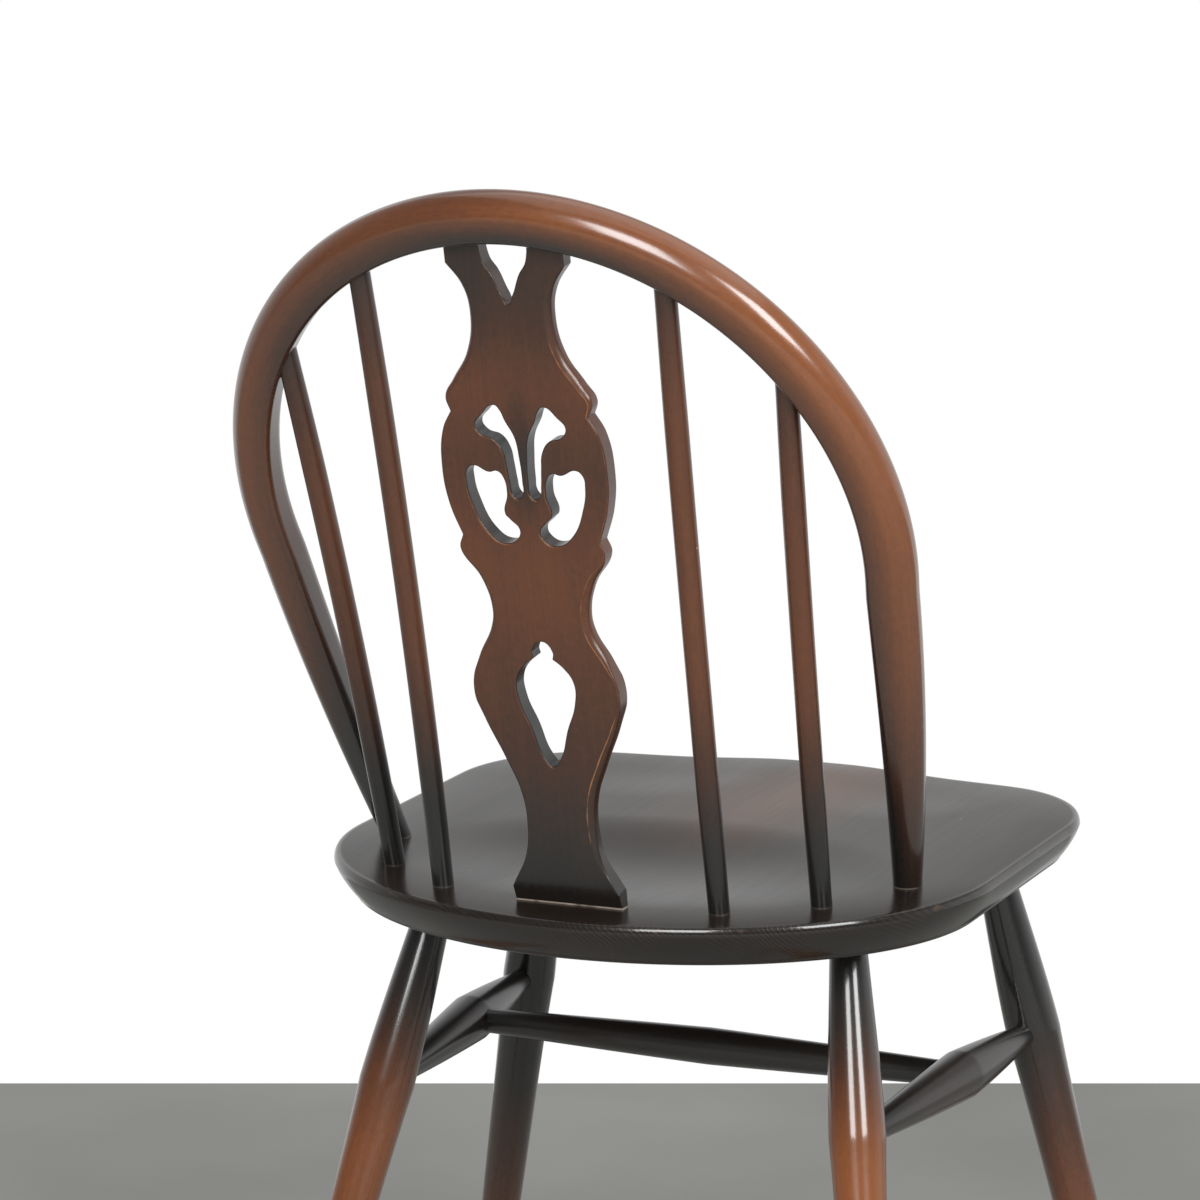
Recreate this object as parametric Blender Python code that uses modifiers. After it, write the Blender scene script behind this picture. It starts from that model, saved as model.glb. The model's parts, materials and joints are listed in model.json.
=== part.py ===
# Bow-back dining chair with a pierced thistle splat. Metres, +Z up, the sitter faces -Y, the sitter's left is +X.
# The back and the seat are drawn in the seat's own frame: its origin is just ahead of the splat's rear face on the
# seat's top, y runs to the rear along the seat and z stands square to it.

import math

import bmesh
import bpy
from mathutils import Matrix, Vector

# Fits
CLEARANCE = 0.0003
SOCKET_COVER = 0.010

# Seat
SEAT_HEIGHT = 0.404
SEAT_TILT = math.radians(4.14)
SEAT_WIDTH = 0.432
SEAT_DEPTH = 0.4076
SEAT_THICKNESS = 0.0275
SEAT_REAR_CURVE = 0.164
SEAT_FRONT_RADIUS = 0.550
SEAT_CORNER_RADIUS = 0.085
SEAT_EDGE_ROUND = 0.0025
SEAT_LOWER_ROUND = 0.0050
SEAT_UNDERCUT = 0.012
SADDLE_DEPTH = 0.0065
SADDLE_MARGIN = 0.050
SADDLE_REAR = 0.033
SADDLE_LENGTH = 0.206
THIGH_DEPTH = 0.0025
THIGH_WIDTH = 0.150
THIGH_LENGTH = 0.180

# Bow
BOW_SIDE_INSET = 0.0118
BOW_HEIGHT = 0.4537
BOW_RAKE = math.radians(21.62)
BOW_FOOT_AHEAD = 0.107
BOW_FOOT_INSET = 0.0397
BOW_WIDTH = 0.0282
BOW_DEPTH = 0.0260
BOW_SOFT_CORNER = 0.0120
BOW_CRISP_CORNER = 0.0045
BOW_FOOT_DIAMETER = 0.0178
BOW_TAPER_LENGTH = 0.215
BOW_ARM_SPRING = 0.0022
WEDGE_LENGTH = 0.018
WEDGE_WIDTH = 0.012
WEDGE_THICKNESS = 0.0036
WEDGE_TIP = 0.0010

# Spindles
SPINDLE_DIAMETER = 0.0140
SPINDLE_END_DIAMETER = 0.0130
OUTER_SPINDLE_GAP = 0.0305
INNER_SPINDLE_GAP = 0.0511
OUTER_SPINDLE_INSET = 0.0368
INNER_SPINDLE_INSET = 0.0289
OUTER_SPINDLE_ANGLE = math.radians(52.5)
INNER_SPINDLE_ANGLE = math.radians(28.7)
SPRING_FORWARD = 0.0023
SPRING_INWARD = 0.0018

# Splat
SPLAT_WIDTH = 0.1070
SPLAT_THICKNESS = 0.0110
SPLAT_FROM_REAR_EDGE = 0.0304
SPLAT_SET_BACK = 0.0026
SPLAT_FOOT_BAND = 0.0110
SPLAT_FOOT_BEVEL = 0.0035
TONGUE_DEPTH = 0.0100
TONGUE_INSIDE = 0.0150
TONGUE_OUTSIDE = 0.0380

# Legs
LEG_TOP_DIAMETER = 0.0225
LEG_SWELL_DIAMETER = 0.0348
LEG_FOOT_DIAMETER = 0.0212
REAR_LEG_INSET = 0.0774
REAR_LEG_FROM_REAR = 0.1257
REAR_LEG_SPLAY = math.radians(10.05)
REAR_LEG_RAKE = math.radians(15.23)
REAR_SWELL_DROP = 0.1248
FRONT_LEG_INSET = 0.0592
FRONT_LEG_FROM_FRONT = 0.0920
FRONT_LEG_SPLAY = math.radians(11.72)
FRONT_LEG_RAKE = math.radians(8.67)
FRONT_SWELL_DROP = 0.1184

# Stretchers
STRETCHER_TENON_DIAMETER = 0.0150
STRETCHER_BULGE_DIAMETER = 0.0315
STRETCHER_BULGE_SHARE = 0.570
CROSS_TENON_DIAMETER = 0.0160
CROSS_MIDDLE_DIAMETER = 0.0238
TENON_STOP = 0.0025
SHOULDER_RUN = 0.0030

# Splat drawing in millimetres: half width on a splat 107 wide, then height on one that meets the bow at 411.
# The third entry is s where the edge runs smoothly and c where it turns a corner.
SPLAT_DRAWN_WIDTH = 107.0
SPLAT_DRAWN_HEIGHT = 411.0
SPLAT_EDGE = [
    (35.2, 11.0, "c"), (25.4, 30.6, "s"), (22.8, 49.0, "s"), (24.6, 70.0, "s"), (33.0, 92.5, "s"),
    (43.0, 116.4, "s"), (47.7, 136.0, "s"), (42.5, 155.8, "s"), (33.2, 174.5, "s"), (31.6, 185.3, "s"),
    (36.2, 204.0, "s"), (46.9, 222.8, "s"), (44.4, 231.0, "c"), (51.0, 249.5, "s"), (53.5, 272.0, "s"),
    (50.2, 295.3, "s"), (44.3, 305.8, "c"), (47.2, 314.6, "s"), (41.5, 324.7, "s"), (31.1, 341.2, "s"),
    (26.4, 365.0, "s"), (29.2, 381.3, "s"),
]
SPLAT_NECK_CORNER = 394.5
NOTCH_EDGE = [(13.9, 397.0, "s"), (8.8, 389.0, "s"), (3.4, 376.5, "s")]
NOTCH_BOTTOM = 371.5
UPPER_LOBE = [
    (15.6, 310.8, "s"), (24.5, 304.5, "s"), (29.1, 298.6, "s"), (26.3, 293.5, "s"), (17.2, 290.0, "s"),
    (12.4, 282.8, "s"), (11.0, 273.8, "s"), (9.9, 263.4, "s"), (8.6, 257.0, "s"), (5.6, 255.0, "s"),
    (2.6, 257.4, "s"), (2.0, 265.4, "s"), (2.6, 279.4, "s"), (4.4, 291.8, "s"), (9.6, 301.7, "s"),
    (12.4, 308.0, "s"),
]
LOWER_LOBE = [
    (33.4, 273.6, "s"), (37.4, 270.3, "s"), (38.1, 263.8, "s"), (35.9, 251.8, "s"), (26.3, 232.8, "s"),
    (17.0, 227.4, "s"), (9.0, 230.1, "s"), (6.7, 235.6, "s"), (12.4, 242.1, "s"), (15.2, 245.3, "s"),
    (12.7, 257.8, "s"), (14.4, 267.9, "s"), (17.6, 270.9, "s"), (23.2, 270.2, "s"),
]
PEAR_EDGE = [
    (4.0, 93.2, "s"), (11.8, 114.0, "s"), (17.9, 129.8, "s"), (18.4, 143.4, "s"), (12.2, 152.5, "s"),
    (6.2, 157.0, "c"), (6.6, 161.6, "s"),
]
PEAR_BOTTOM = 89.9
PEAR_TOP = 167.6

# Fineness of the curves
ROUND_STEPS = 24
EDGE_STEPS = 3
CORNER_STEPS = 4

UP = Vector((0, 0, 1))


def start_scene():
    for thing in list(bpy.data.objects):
        bpy.data.objects.remove(thing)
    parts = bpy.data.collections.new("thistle_back_chair")
    cutters = bpy.data.collections.new("cutters")
    for collection in (parts, cutters):
        bpy.context.scene.collection.children.link(collection)
    return parts, cutters


def wood(name, colour, roughness):
    material = bpy.data.materials.new(name)
    material.use_nodes = True
    shader = material.node_tree.nodes["Principled BSDF"]
    shader.inputs["Base Color"].default_value = (*colour, 1.0)
    shader.inputs["Roughness"].default_value = roughness
    shader.inputs["Metallic"].default_value = 0.0
    return material


def place(name, mesh, parent, collection, matrix=None):
    thing = bpy.data.objects.new(name, mesh)
    collection.objects.link(thing)
    thing.parent = parent
    if matrix is not None:
        thing.matrix_local = matrix
    return thing


def finish_part(thing, colour, roughness):
    thing.data.materials.clear()
    thing.data.materials.append(wood(thing.name + "_wood", colour, roughness))
    thing.data.shade_smooth()
    thing.data.set_sharp_from_angle(angle=math.radians(32))
    return thing


def as_cutter(thing):
    thing.hide_render = True
    thing.display_type = "WIRE"
    return thing


def cut(thing, cutter):
    modifier = thing.modifiers.new(cutter.name, "BOOLEAN")
    modifier.operation = "DIFFERENCE"
    modifier.solver = "EXACT"
    modifier.object = cutter


def along(start, end):
    # Matrix whose origin is at start and whose z axis points to end
    turn = (end - start).to_track_quat("Z", "Y").to_matrix().to_4x4()
    return Matrix.Translation(start) @ turn


def round_cutter(name, start, end, radius, parent):
    shape = bmesh.new()
    length = (end - start).length
    bmesh.ops.create_cone(shape, cap_ends=True, segments=ROUND_STEPS, radius1=radius, radius2=radius, depth=length)
    bmesh.ops.translate(shape, vec=(0, 0, length / 2), verts=shape.verts)
    mesh = bpy.data.meshes.new(name)
    shape.to_mesh(mesh)
    shape.free()
    return as_cutter(place(name, mesh, parent, CUTTERS, along(start, end)))


def box_cutter(name, low, high, parent, matrix=None):
    shape = bmesh.new()
    bmesh.ops.create_cube(shape, size=1.0)
    for vert in shape.verts:
        vert.co = Vector(tuple(b if v > 0 else a for v, a, b in zip(vert.co, low, high)))
    mesh = bpy.data.meshes.new(name)
    shape.to_mesh(mesh)
    shape.free()
    return as_cutter(place(name, mesh, parent, CUTTERS, matrix))


def loft(name, rings):
    # Closed skin over rings of equal count, with a flat face at each end
    shape = bmesh.new()
    rows = [[shape.verts.new(point) for point in ring] for ring in rings]
    count = len(rows[0])
    for lower, upper in zip(rows, rows[1:]):
        for i in range(count):
            j = (i + 1) % count
            shape.faces.new((lower[i], lower[j], upper[j], upper[i]))
    shape.faces.new(rows[0])
    shape.faces.new(rows[-1])
    bmesh.ops.recalc_face_normals(shape, faces=shape.faces)
    mesh = bpy.data.meshes.new(name)
    shape.to_mesh(mesh)
    shape.free()
    return mesh


def turned(name, profile):
    # Profile points are radius and height, from the top down, with both ends on the axis
    mesh = bpy.data.meshes.new(name)
    points = [(radius, 0.0, height) for radius, height in profile]
    mesh.from_pydata(points, [(i, i + 1) for i in range(len(points) - 1)], [])
    return mesh


def spin(thing):
    screw = thing.modifiers.new("turning", "SCREW")
    screw.axis = "Z"
    screw.steps = ROUND_STEPS
    screw.render_steps = ROUND_STEPS
    screw.use_merge_vertices = True
    screw.merge_threshold = 0.00001
    screw.use_smooth_shade = True


def curve_mesh(name, data):
    # Solid mesh of a curve, its caps welded on
    thing = bpy.data.objects.new(name, data)
    bpy.context.scene.collection.objects.link(thing)
    depsgraph = bpy.context.evaluated_depsgraph_get()
    mesh = bpy.data.meshes.new_from_object(thing.evaluated_get(depsgraph))
    bpy.data.objects.remove(thing)
    shape = bmesh.new()
    shape.from_mesh(mesh)
    bmesh.ops.remove_doubles(shape, verts=shape.verts, dist=0.000001)
    bmesh.ops.recalc_face_normals(shape, faces=shape.faces)
    shape.to_mesh(mesh)
    shape.free()
    mesh.name = name
    return mesh


def plate(name, outlines, thickness):
    # Flat board in the xy plane. Each outline is a closed list of x, y and smooth or corner
    data = bpy.data.curves.new(name, "CURVE")
    data.dimensions = "2D"
    data.fill_mode = "BOTH"
    data.extrude = thickness / 2
    data.resolution_u = EDGE_STEPS
    for outline in outlines:
        spline = data.splines.new("BEZIER")
        spline.bezier_points.add(len(outline) - 1)
        spline.use_cyclic_u = True
        for point, (x, y, kind) in zip(spline.bezier_points, outline):
            point.co = (x, y, 0.0)
            handle = "AUTO" if kind == "s" else "VECTOR"
            point.handle_left_type = handle
            point.handle_right_type = handle
    return curve_mesh(name, data)


def both_sides(half):
    # Closed outline from its right half, listed from the bottom up
    return half + [(-x, y, kind) for x, y, kind in reversed(half) if x > 0]


# Places that several pieces share

SEAT_HALF = SEAT_WIDTH / 2
REAR_EDGE = SPLAT_FROM_REAR_EDGE
FRONT_EDGE = REAR_EDGE - SEAT_DEPTH
REAR_CENTRE = REAR_EDGE - SEAT_REAR_CURVE
UNDERSIDE = -SEAT_THICKNESS
SOCKET_DEPTH = SEAT_THICKNESS - SOCKET_COVER
SEAT_TO_FLOOR = Matrix.Translation((0, 0, SEAT_HEIGHT)) @ Matrix.Rotation(-SEAT_TILT, 4, "X")


def rear_edge_at(x):
    return REAR_CENTRE + SEAT_REAR_CURVE * math.sqrt(1 - (x / SEAT_HALF) ** 2)


def side_edge_at(y):
    return SEAT_HALF * math.sqrt(1 - max(0.0, (y - REAR_CENTRE) / SEAT_REAR_CURVE) ** 2)


# The bow's top is as high as BOW_HEIGHT along its rake, and its round is nearly as wide as the seat
BOW_RADIUS = SEAT_HALF - BOW_SIDE_INSET
BOW_ARC_HEIGHT = BOW_HEIGHT - BOW_RADIUS
BOW_FOOT_X = side_edge_at(-BOW_FOOT_AHEAD) - BOW_FOOT_INSET
BOW_UP = Vector((0, math.sin(BOW_RAKE), math.cos(BOW_RAKE)))
BOW_REAR = Vector((0, math.cos(BOW_RAKE), -math.sin(BOW_RAKE)))
BOW_CENTRE = Vector((0, -BOW_FOOT_AHEAD, 0)) + BOW_UP * BOW_ARC_HEIGHT


def bow_out(angle):
    # Direction from the bow's centre, angle 0 straight up, positive to the sitter's left
    return Vector((math.sin(angle), 0, 0)) + BOW_UP * math.cos(angle)


def bow_tangent_angle():
    # Where the straight arm leaves the round of the bow
    reach = math.hypot(BOW_FOOT_X, BOW_ARC_HEIGHT)
    down = math.atan2(BOW_ARC_HEIGHT, BOW_FOOT_X) - math.acos(BOW_RADIUS / reach)
    return math.pi / 2 + down


BOW_TURN = bow_tangent_angle()
BOW_INSIDE_TOP = BOW_CENTRE + BOW_UP * (BOW_RADIUS - BOW_WIDTH / 2)
SPLAT_RAKE = math.atan2(BOW_INSIDE_TOP.y, BOW_INSIDE_TOP.z)
SPLAT_HEIGHT = BOW_INSIDE_TOP.yz.length
SPLAT_SCALE_X = SPLAT_WIDTH / SPLAT_DRAWN_WIDTH
SPLAT_SCALE_Y = SPLAT_HEIGHT / SPLAT_DRAWN_HEIGHT
SPLAT_FOOT_HALF = SPLAT_EDGE[0][0] * SPLAT_SCALE_X
SPLAT_FRAME = Matrix.Translation((0, SPLAT_SET_BACK, 0)) @ Matrix.Rotation(math.pi / 2 - SPLAT_RAKE, 4, "X")
SPLAT_FRAME = SPLAT_FRAME @ Matrix.Translation((0, 0, SPLAT_THICKNESS / 2))


# Seat

def seat_outline():
    reach = SEAT_HALF - SEAT_CORNER_RADIUS
    front_centre = FRONT_EDGE + SEAT_FRONT_RADIUS
    rise = math.sqrt((SEAT_FRONT_RADIUS - SEAT_CORNER_RADIUS) ** 2 - reach ** 2)
    corner_y = front_centre - rise
    turn = math.atan2(reach, rise)
    half = []
    for i in range(11):
        angle = math.pi / 2 * i / 10
        half.append((SEAT_HALF * math.sin(angle), REAR_CENTRE + SEAT_REAR_CURVE * math.cos(angle)))
    for i in range(1, 3):
        half.append((SEAT_HALF, REAR_CENTRE + (corner_y - REAR_CENTRE) * i / 3))
    for i in range(6):
        angle = (math.pi / 2 - turn) * i / 5
        half.append((reach + SEAT_CORNER_RADIUS * math.cos(angle), corner_y - SEAT_CORNER_RADIUS * math.sin(angle)))
    for i in range(1, 6):
        angle = turn * (1 - i / 5)
        half.append((SEAT_FRONT_RADIUS * math.sin(angle), front_centre - SEAT_FRONT_RADIUS * math.cos(angle)))
    other = [(-x, y) for x, y in reversed(half[1:-1])]
    return [Vector(point) for point in half + other]


def hollow(x, y, reach_x, reach_y):
    # Soft round dip, 1 in its middle and 0 outside its reach
    return max(0.0, 1 - (x / reach_x) ** 2 - (y / reach_y) ** 2) ** 2


def saddle(x, y):
    # How far the seat's top is carved below its rim
    middle = REAR_EDGE - SADDLE_REAR - SADDLE_LENGTH / 2
    depth = SADDLE_DEPTH * hollow(x, y - middle, SEAT_HALF - SADDLE_MARGIN, SADDLE_LENGTH / 2)
    for side in (-1, 1):
        thigh_y = FRONT_EDGE + THIGH_LENGTH / 4
        depth += THIGH_DEPTH * hollow(x - side * THIGH_WIDTH * 0.58, y - thigh_y, THIGH_WIDTH / 2, THIGH_LENGTH / 2)
    return depth


def seat_mesh():
    outline = seat_outline()
    count = len(outline)
    inward = []
    for i, point in enumerate(outline):
        run = outline[(i + 1) % count] - outline[i - 1]
        inward.append(Vector((run.y, -run.x)).normalized())
    edge = [
        (SEAT_UNDERCUT + SEAT_LOWER_ROUND, UNDERSIDE),
        (SEAT_UNDERCUT, UNDERSIDE + SEAT_LOWER_ROUND / 2),
        (0.0, -SEAT_EDGE_ROUND),
        (SEAT_EDGE_ROUND * 0.3, -SEAT_EDGE_ROUND * 0.3),
        (SEAT_EDGE_ROUND, 0.0),
    ]
    rings = []
    for inset, height in edge:
        flat = [point + step * inset for point, step in zip(outline, inward)]
        carved = 0.0 if height < -SEAT_EDGE_ROUND else 1.0
        rings.append([Vector((p.x, p.y, height - carved * saddle(p.x, p.y))) for p in flat])
    centre = Vector((0, (REAR_EDGE + FRONT_EDGE) / 2))
    for share in (0.12, 0.25, 0.4, 0.55, 0.7, 0.85, 0.97):
        inner = [p.lerp(centre, share) for p in flat]
        rings.append([Vector((p.x, p.y, -saddle(p.x, p.y))) for p in inner])
    return loft("seat", rings)


# Bow

def bow_section(width, depth, soft, crisp):
    # Across the bow: x outward, y to the rear. The inner rear corner is crisp, the others are soft
    points = []
    for quarter, (side_x, side_y, radius) in enumerate([(1, 1, soft), (-1, 1, crisp), (-1, -1, soft), (1, -1, soft)]):
        for i in range(CORNER_STEPS + 1):
            angle = math.pi / 2 * (quarter + i / CORNER_STEPS)
            x = side_x * (width / 2 - radius) + radius * math.cos(angle)
            y = side_y * (depth / 2 - radius) + radius * math.sin(angle)
            points.append((x, y))
    return points


def bow_ring(centre, out, grown):
    # grown is 0 at the round foot and 1 where the full section is reached
    foot = BOW_FOOT_DIAMETER
    round_corner = 0.48 * foot
    section = bow_section(
        foot + (BOW_WIDTH - foot) * grown,
        foot + (BOW_DEPTH - foot) * grown,
        round_corner + (BOW_SOFT_CORNER - round_corner) * grown,
        round_corner + (BOW_CRISP_CORNER - round_corner) * grown,
    )
    return [centre + out * x + BOW_REAR * y for x, y in section]


def bow_arm(side):
    # Where the arm meets the seat's top, its direction upward and its length to the round
    foot = Vector((side * BOW_FOOT_X, -BOW_FOOT_AHEAD, 0))
    end = BOW_CENTRE + bow_out(side * BOW_TURN) * BOW_RADIUS
    return foot, (end - foot).normalized(), (end - foot).length


def bow_mesh():
    foot, rise, length = bow_arm(1)
    straight = BOW_FOOT_DIAMETER / 2 * math.tan(rise.angle(UP)) + SHOULDER_RUN
    below = (SEAT_THICKNESS + BOW_FOOT_DIAMETER) / rise.z
    heights = [-below, straight] + [straight + (BOW_TAPER_LENGTH - straight) * i / 5 for i in range(1, 6)]
    arm = []
    for height in heights:
        share = min(1.0, max(0.0, (height - straight) / (BOW_TAPER_LENGTH - straight)))
        spring = BOW_ARM_SPRING * 4 * share * (1 - share)
        arm.append((height, spring, 1 - (1 - share) ** 1.5))
    rings = []
    out = bow_out(BOW_TURN)
    for height, spring, grown in arm:
        rings.append(bow_ring(foot + rise * height + out * spring, out, grown))
    for i in range(29):
        angle = BOW_TURN * (1 - i / 14)
        rings.append(bow_ring(BOW_CENTRE + bow_out(angle) * BOW_RADIUS, bow_out(angle), 1.0))
    foot, rise, length = bow_arm(-1)
    out = bow_out(-BOW_TURN)
    for height, spring, grown in reversed(arm):
        rings.append(bow_ring(foot + rise * height + out * spring, out, grown))
    return loft("bow", rings)


def wedge_mesh(name, grow):
    # Tapered block, its thick end down, its z axis up the bow's arm
    shape = bmesh.new()
    bmesh.ops.create_cube(shape, size=1.0)
    low = -BOW_FOOT_DIAMETER
    taper = (WEDGE_THICKNESS - WEDGE_TIP) / WEDGE_LENGTH
    for vert in shape.verts:
        height = WEDGE_LENGTH + grow if vert.co.z > 0 else low
        thickness = WEDGE_TIP + taper * (WEDGE_LENGTH - height) + 2 * grow
        vert.co = Vector((vert.co.x * (WEDGE_WIDTH + 2 * grow), vert.co.y * thickness, height))
    mesh = bpy.data.meshes.new(name)
    shape.to_mesh(mesh)
    shape.free()
    return mesh


# Spindles

def spindle_line(side, foot, angle):
    # Points from the foot's end to the top's end: straight tenons and a slightly sprung middle
    top = BOW_CENTRE + bow_out(side * angle) * BOW_RADIUS
    spring = Vector((-side * SPRING_INWARD, -SPRING_FORWARD, 0))
    points = [foot.lerp(top, i / 8) + spring * (4 * i / 8 * (1 - i / 8)) for i in range(9)]
    low = (points[0] - points[1]).normalized()
    high = (points[-1] - points[-2]).normalized()
    slant = high.angle(bow_out(side * angle))
    inside = BOW_WIDTH / 2 / math.cos(slant) + SPINDLE_DIAMETER / 2 * math.tan(slant) + SHOULDER_RUN
    points[0] = points[0] - low * (SHOULDER_RUN + SPINDLE_DIAMETER / 2)
    points[-1] = points[-1] - high * inside
    start = points[0] + low * (SOCKET_DEPTH / -low.z + SHOULDER_RUN + SPINDLE_DIAMETER / 2)
    return [start] + points + [points[-1] + high * (inside - TENON_STOP)]


def spindle_mesh(name, points):
    data = bpy.data.curves.new(name, "CURVE")
    data.dimensions = "3D"
    data.bevel_depth = SPINDLE_DIAMETER / 2
    data.bevel_resolution = 4
    data.use_fill_caps = True
    spline = data.splines.new("POLY")
    spline.points.add(len(points) - 1)
    last = len(points) - 3
    for i, (knot, point) in enumerate(zip(spline.points, points)):
        knot.co = (*point, 1.0)
        along_middle = min(max((i - 1) / last, 0.0), 1.0)
        fullness = 1 - (2 * along_middle - 1) ** 2
        end_share = SPINDLE_END_DIAMETER / SPINDLE_DIAMETER
        knot.radius = end_share + (1 - end_share) * min(1.0, 1.6 * fullness)
    return curve_mesh(name, data)


# Splat

def splat_mesh():
    def drawn(points):
        return [(x * SPLAT_SCALE_X, y * SPLAT_SCALE_Y, kind) for x, y, kind in points]

    top = SPLAT_HEIGHT + TONGUE_DEPTH
    half = [(SPLAT_FOOT_HALF, -SOCKET_DEPTH, "c")] + drawn(SPLAT_EDGE)
    half.append((TONGUE_OUTSIDE, SPLAT_NECK_CORNER * SPLAT_SCALE_Y, "c"))
    half.append((TONGUE_OUTSIDE, top, "c"))
    half.append((TONGUE_INSIDE, top, "c"))
    half += drawn(NOTCH_EDGE) + drawn([(0.0, NOTCH_BOTTOM, "s")])
    pear = drawn([(0.0, PEAR_BOTTOM, "s")] + PEAR_EDGE + [(0.0, PEAR_TOP, "s")])
    outlines = [both_sides(half), both_sides(pear)]
    for lobe in (drawn(UPPER_LOBE), drawn(LOWER_LOBE)):
        outlines.append(lobe)
        outlines.append([(-x, y, kind) for x, y, kind in lobe])
    return plate("splat", outlines, SPLAT_THICKNESS)


def splat_foot_cutter(parent):
    # Bevels the rear face down to the thickness that enters the mortise. Drawn from the side: x up the
    # splat, y to the front from its middle
    rear = -SPLAT_THICKNESS / 2
    beyond = rear - SPLAT_THICKNESS
    corner = [
        (SPLAT_FOOT_BAND, rear, "c"),
        (0.0, rear + SPLAT_FOOT_BEVEL, "c"),
        (-2 * SEAT_THICKNESS, rear + SPLAT_FOOT_BEVEL, "c"),
        (-2 * SEAT_THICKNESS, beyond, "c"),
        (SPLAT_FOOT_BAND + (rear - beyond) * SPLAT_FOOT_BAND / SPLAT_FOOT_BEVEL, beyond, "c"),
    ]
    mesh = plate("foot_bevel", [corner], 4 * SPLAT_FOOT_HALF)
    swing = Matrix(((0, 0, 1, 0), (1, 0, 0, 0), (0, 1, 0, 0), (0, 0, 0, 1)))
    return as_cutter(place("foot_bevel", mesh, parent, CUTTERS, SPLAT_FRAME @ swing))


# Legs and stretchers

def leg_axis(side, rear):
    # Point where the leg's axis meets the seat's underside, and its direction down
    if rear:
        x = SEAT_HALF - REAR_LEG_INSET
        y = REAR_EDGE - REAR_LEG_FROM_REAR
        down = Vector((side * math.tan(REAR_LEG_SPLAY), math.tan(REAR_LEG_RAKE), -1))
    else:
        x = SEAT_HALF - FRONT_LEG_INSET
        y = FRONT_EDGE + FRONT_LEG_FROM_FRONT
        down = Vector((side * math.tan(FRONT_LEG_SPLAY), -math.tan(FRONT_LEG_RAKE), -1))
    return SEAT_TO_FLOOR @ Vector((side * x, y, UNDERSIDE)), down.normalized()


def leg_joint(side, rear):
    # Where the side stretcher's axis crosses the leg's axis, at the leg's thickest place
    top, down = leg_axis(side, rear)
    return top + down * (REAR_SWELL_DROP if rear else FRONT_SWELL_DROP)


def leg_lean(down):
    return down.angle(SEAT_TO_FLOOR.to_3x3() @ -UP)


def leg_profile(rear):
    top, down = leg_axis(1, rear)
    swell_at = REAR_SWELL_DROP if rear else FRONT_SWELL_DROP
    length = top.z / -down.z
    tenon = LEG_TOP_DIAMETER / 2
    swell = LEG_SWELL_DIAMETER / 2
    foot = LEG_FOOT_DIAMETER / 2
    tenon_top = SOCKET_DEPTH / math.cos(leg_lean(down)) - tenon * math.tan(leg_lean(down))
    neck = tenon * math.tan(leg_lean(down)) + SHOULDER_RUN / 2
    profile = [(0.0, tenon_top), (tenon - 2 * CLEARANCE, tenon_top), (tenon, tenon_top - 2 * CLEARANCE), (tenon, -neck)]
    for share in (0.25, 0.5, 0.75, 0.93):
        fullness = share + 0.7 * share ** 2 * (1 - share)
        profile.append((tenon + (swell - tenon) * fullness, -neck - (swell_at - neck) * share))
    profile.append((swell, -swell_at))
    for share in (0.05, 0.15, 0.35, 0.65, 1.0):
        thinning = share + 1.3 * share * (1 - share) ** 4
        profile.append((swell - (swell - foot) * thinning, -swell_at - (length - swell_at) * share))
    over = LEG_FOOT_DIAMETER
    return profile + [(foot, -length - over), (0.0, -length - over)]


def stretcher_profile(length, tenon, straight, middle, middle_at, points):
    # Tenon, cone up to the middle, cone down, tenon. Heights run down from the far end
    profile = [(0.0, length), (tenon - 2 * CLEARANCE, length), (tenon, length - 2 * CLEARANCE), (tenon, length - straight)]
    for i in range(1, points):
        share = i / points
        height = length - straight - (length - straight - middle_at) * share
        profile.append((tenon + (middle - tenon) * (share + 0.25 * share * (1 - share)), height))
    profile.append((middle, middle_at))
    for i in range(points - 1, 0, -1):
        share = i / points
        height = straight + (middle_at - straight) * share
        profile.append((tenon + (middle - tenon) * (share + 0.25 * share * (1 - share)), height))
    return profile + [(tenon, straight), (tenon, 2 * CLEARANCE), (tenon - 2 * CLEARANCE, 0.0), (0.0, 0.0)]


def side_stretcher_ends(side):
    rear = leg_joint(side, True)
    front = leg_joint(side, False)
    inset = (front - rear).normalized() * TENON_STOP
    return rear + inset, front - inset


def cross_stretcher_ends():
    ends = []
    for side in (1, -1):
        rear = leg_joint(side, True)
        ends.append(rear.lerp(leg_joint(side, False), STRETCHER_BULGE_SHARE))
    inset = (ends[1] - ends[0]).normalized() * TENON_STOP
    return ends[0] + inset, ends[1] - inset


PARTS, CUTTERS = start_scene()
SIDES = ((1, "left"), (-1, "right"))

chair = place("chair_on_floor", None, None, PARTS)
seat_frame = place("seat_frame", None, chair, PARTS, SEAT_TO_FLOOR)

# Seat and bow
seat = finish_part(place("seat", seat_mesh(), seat_frame, PARTS), (0.050, 0.024, 0.014), 0.30)
bow = finish_part(place("bow", bow_mesh(), seat_frame, PARTS), (0.120, 0.045, 0.020), 0.26)
made = [seat, bow]

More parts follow.
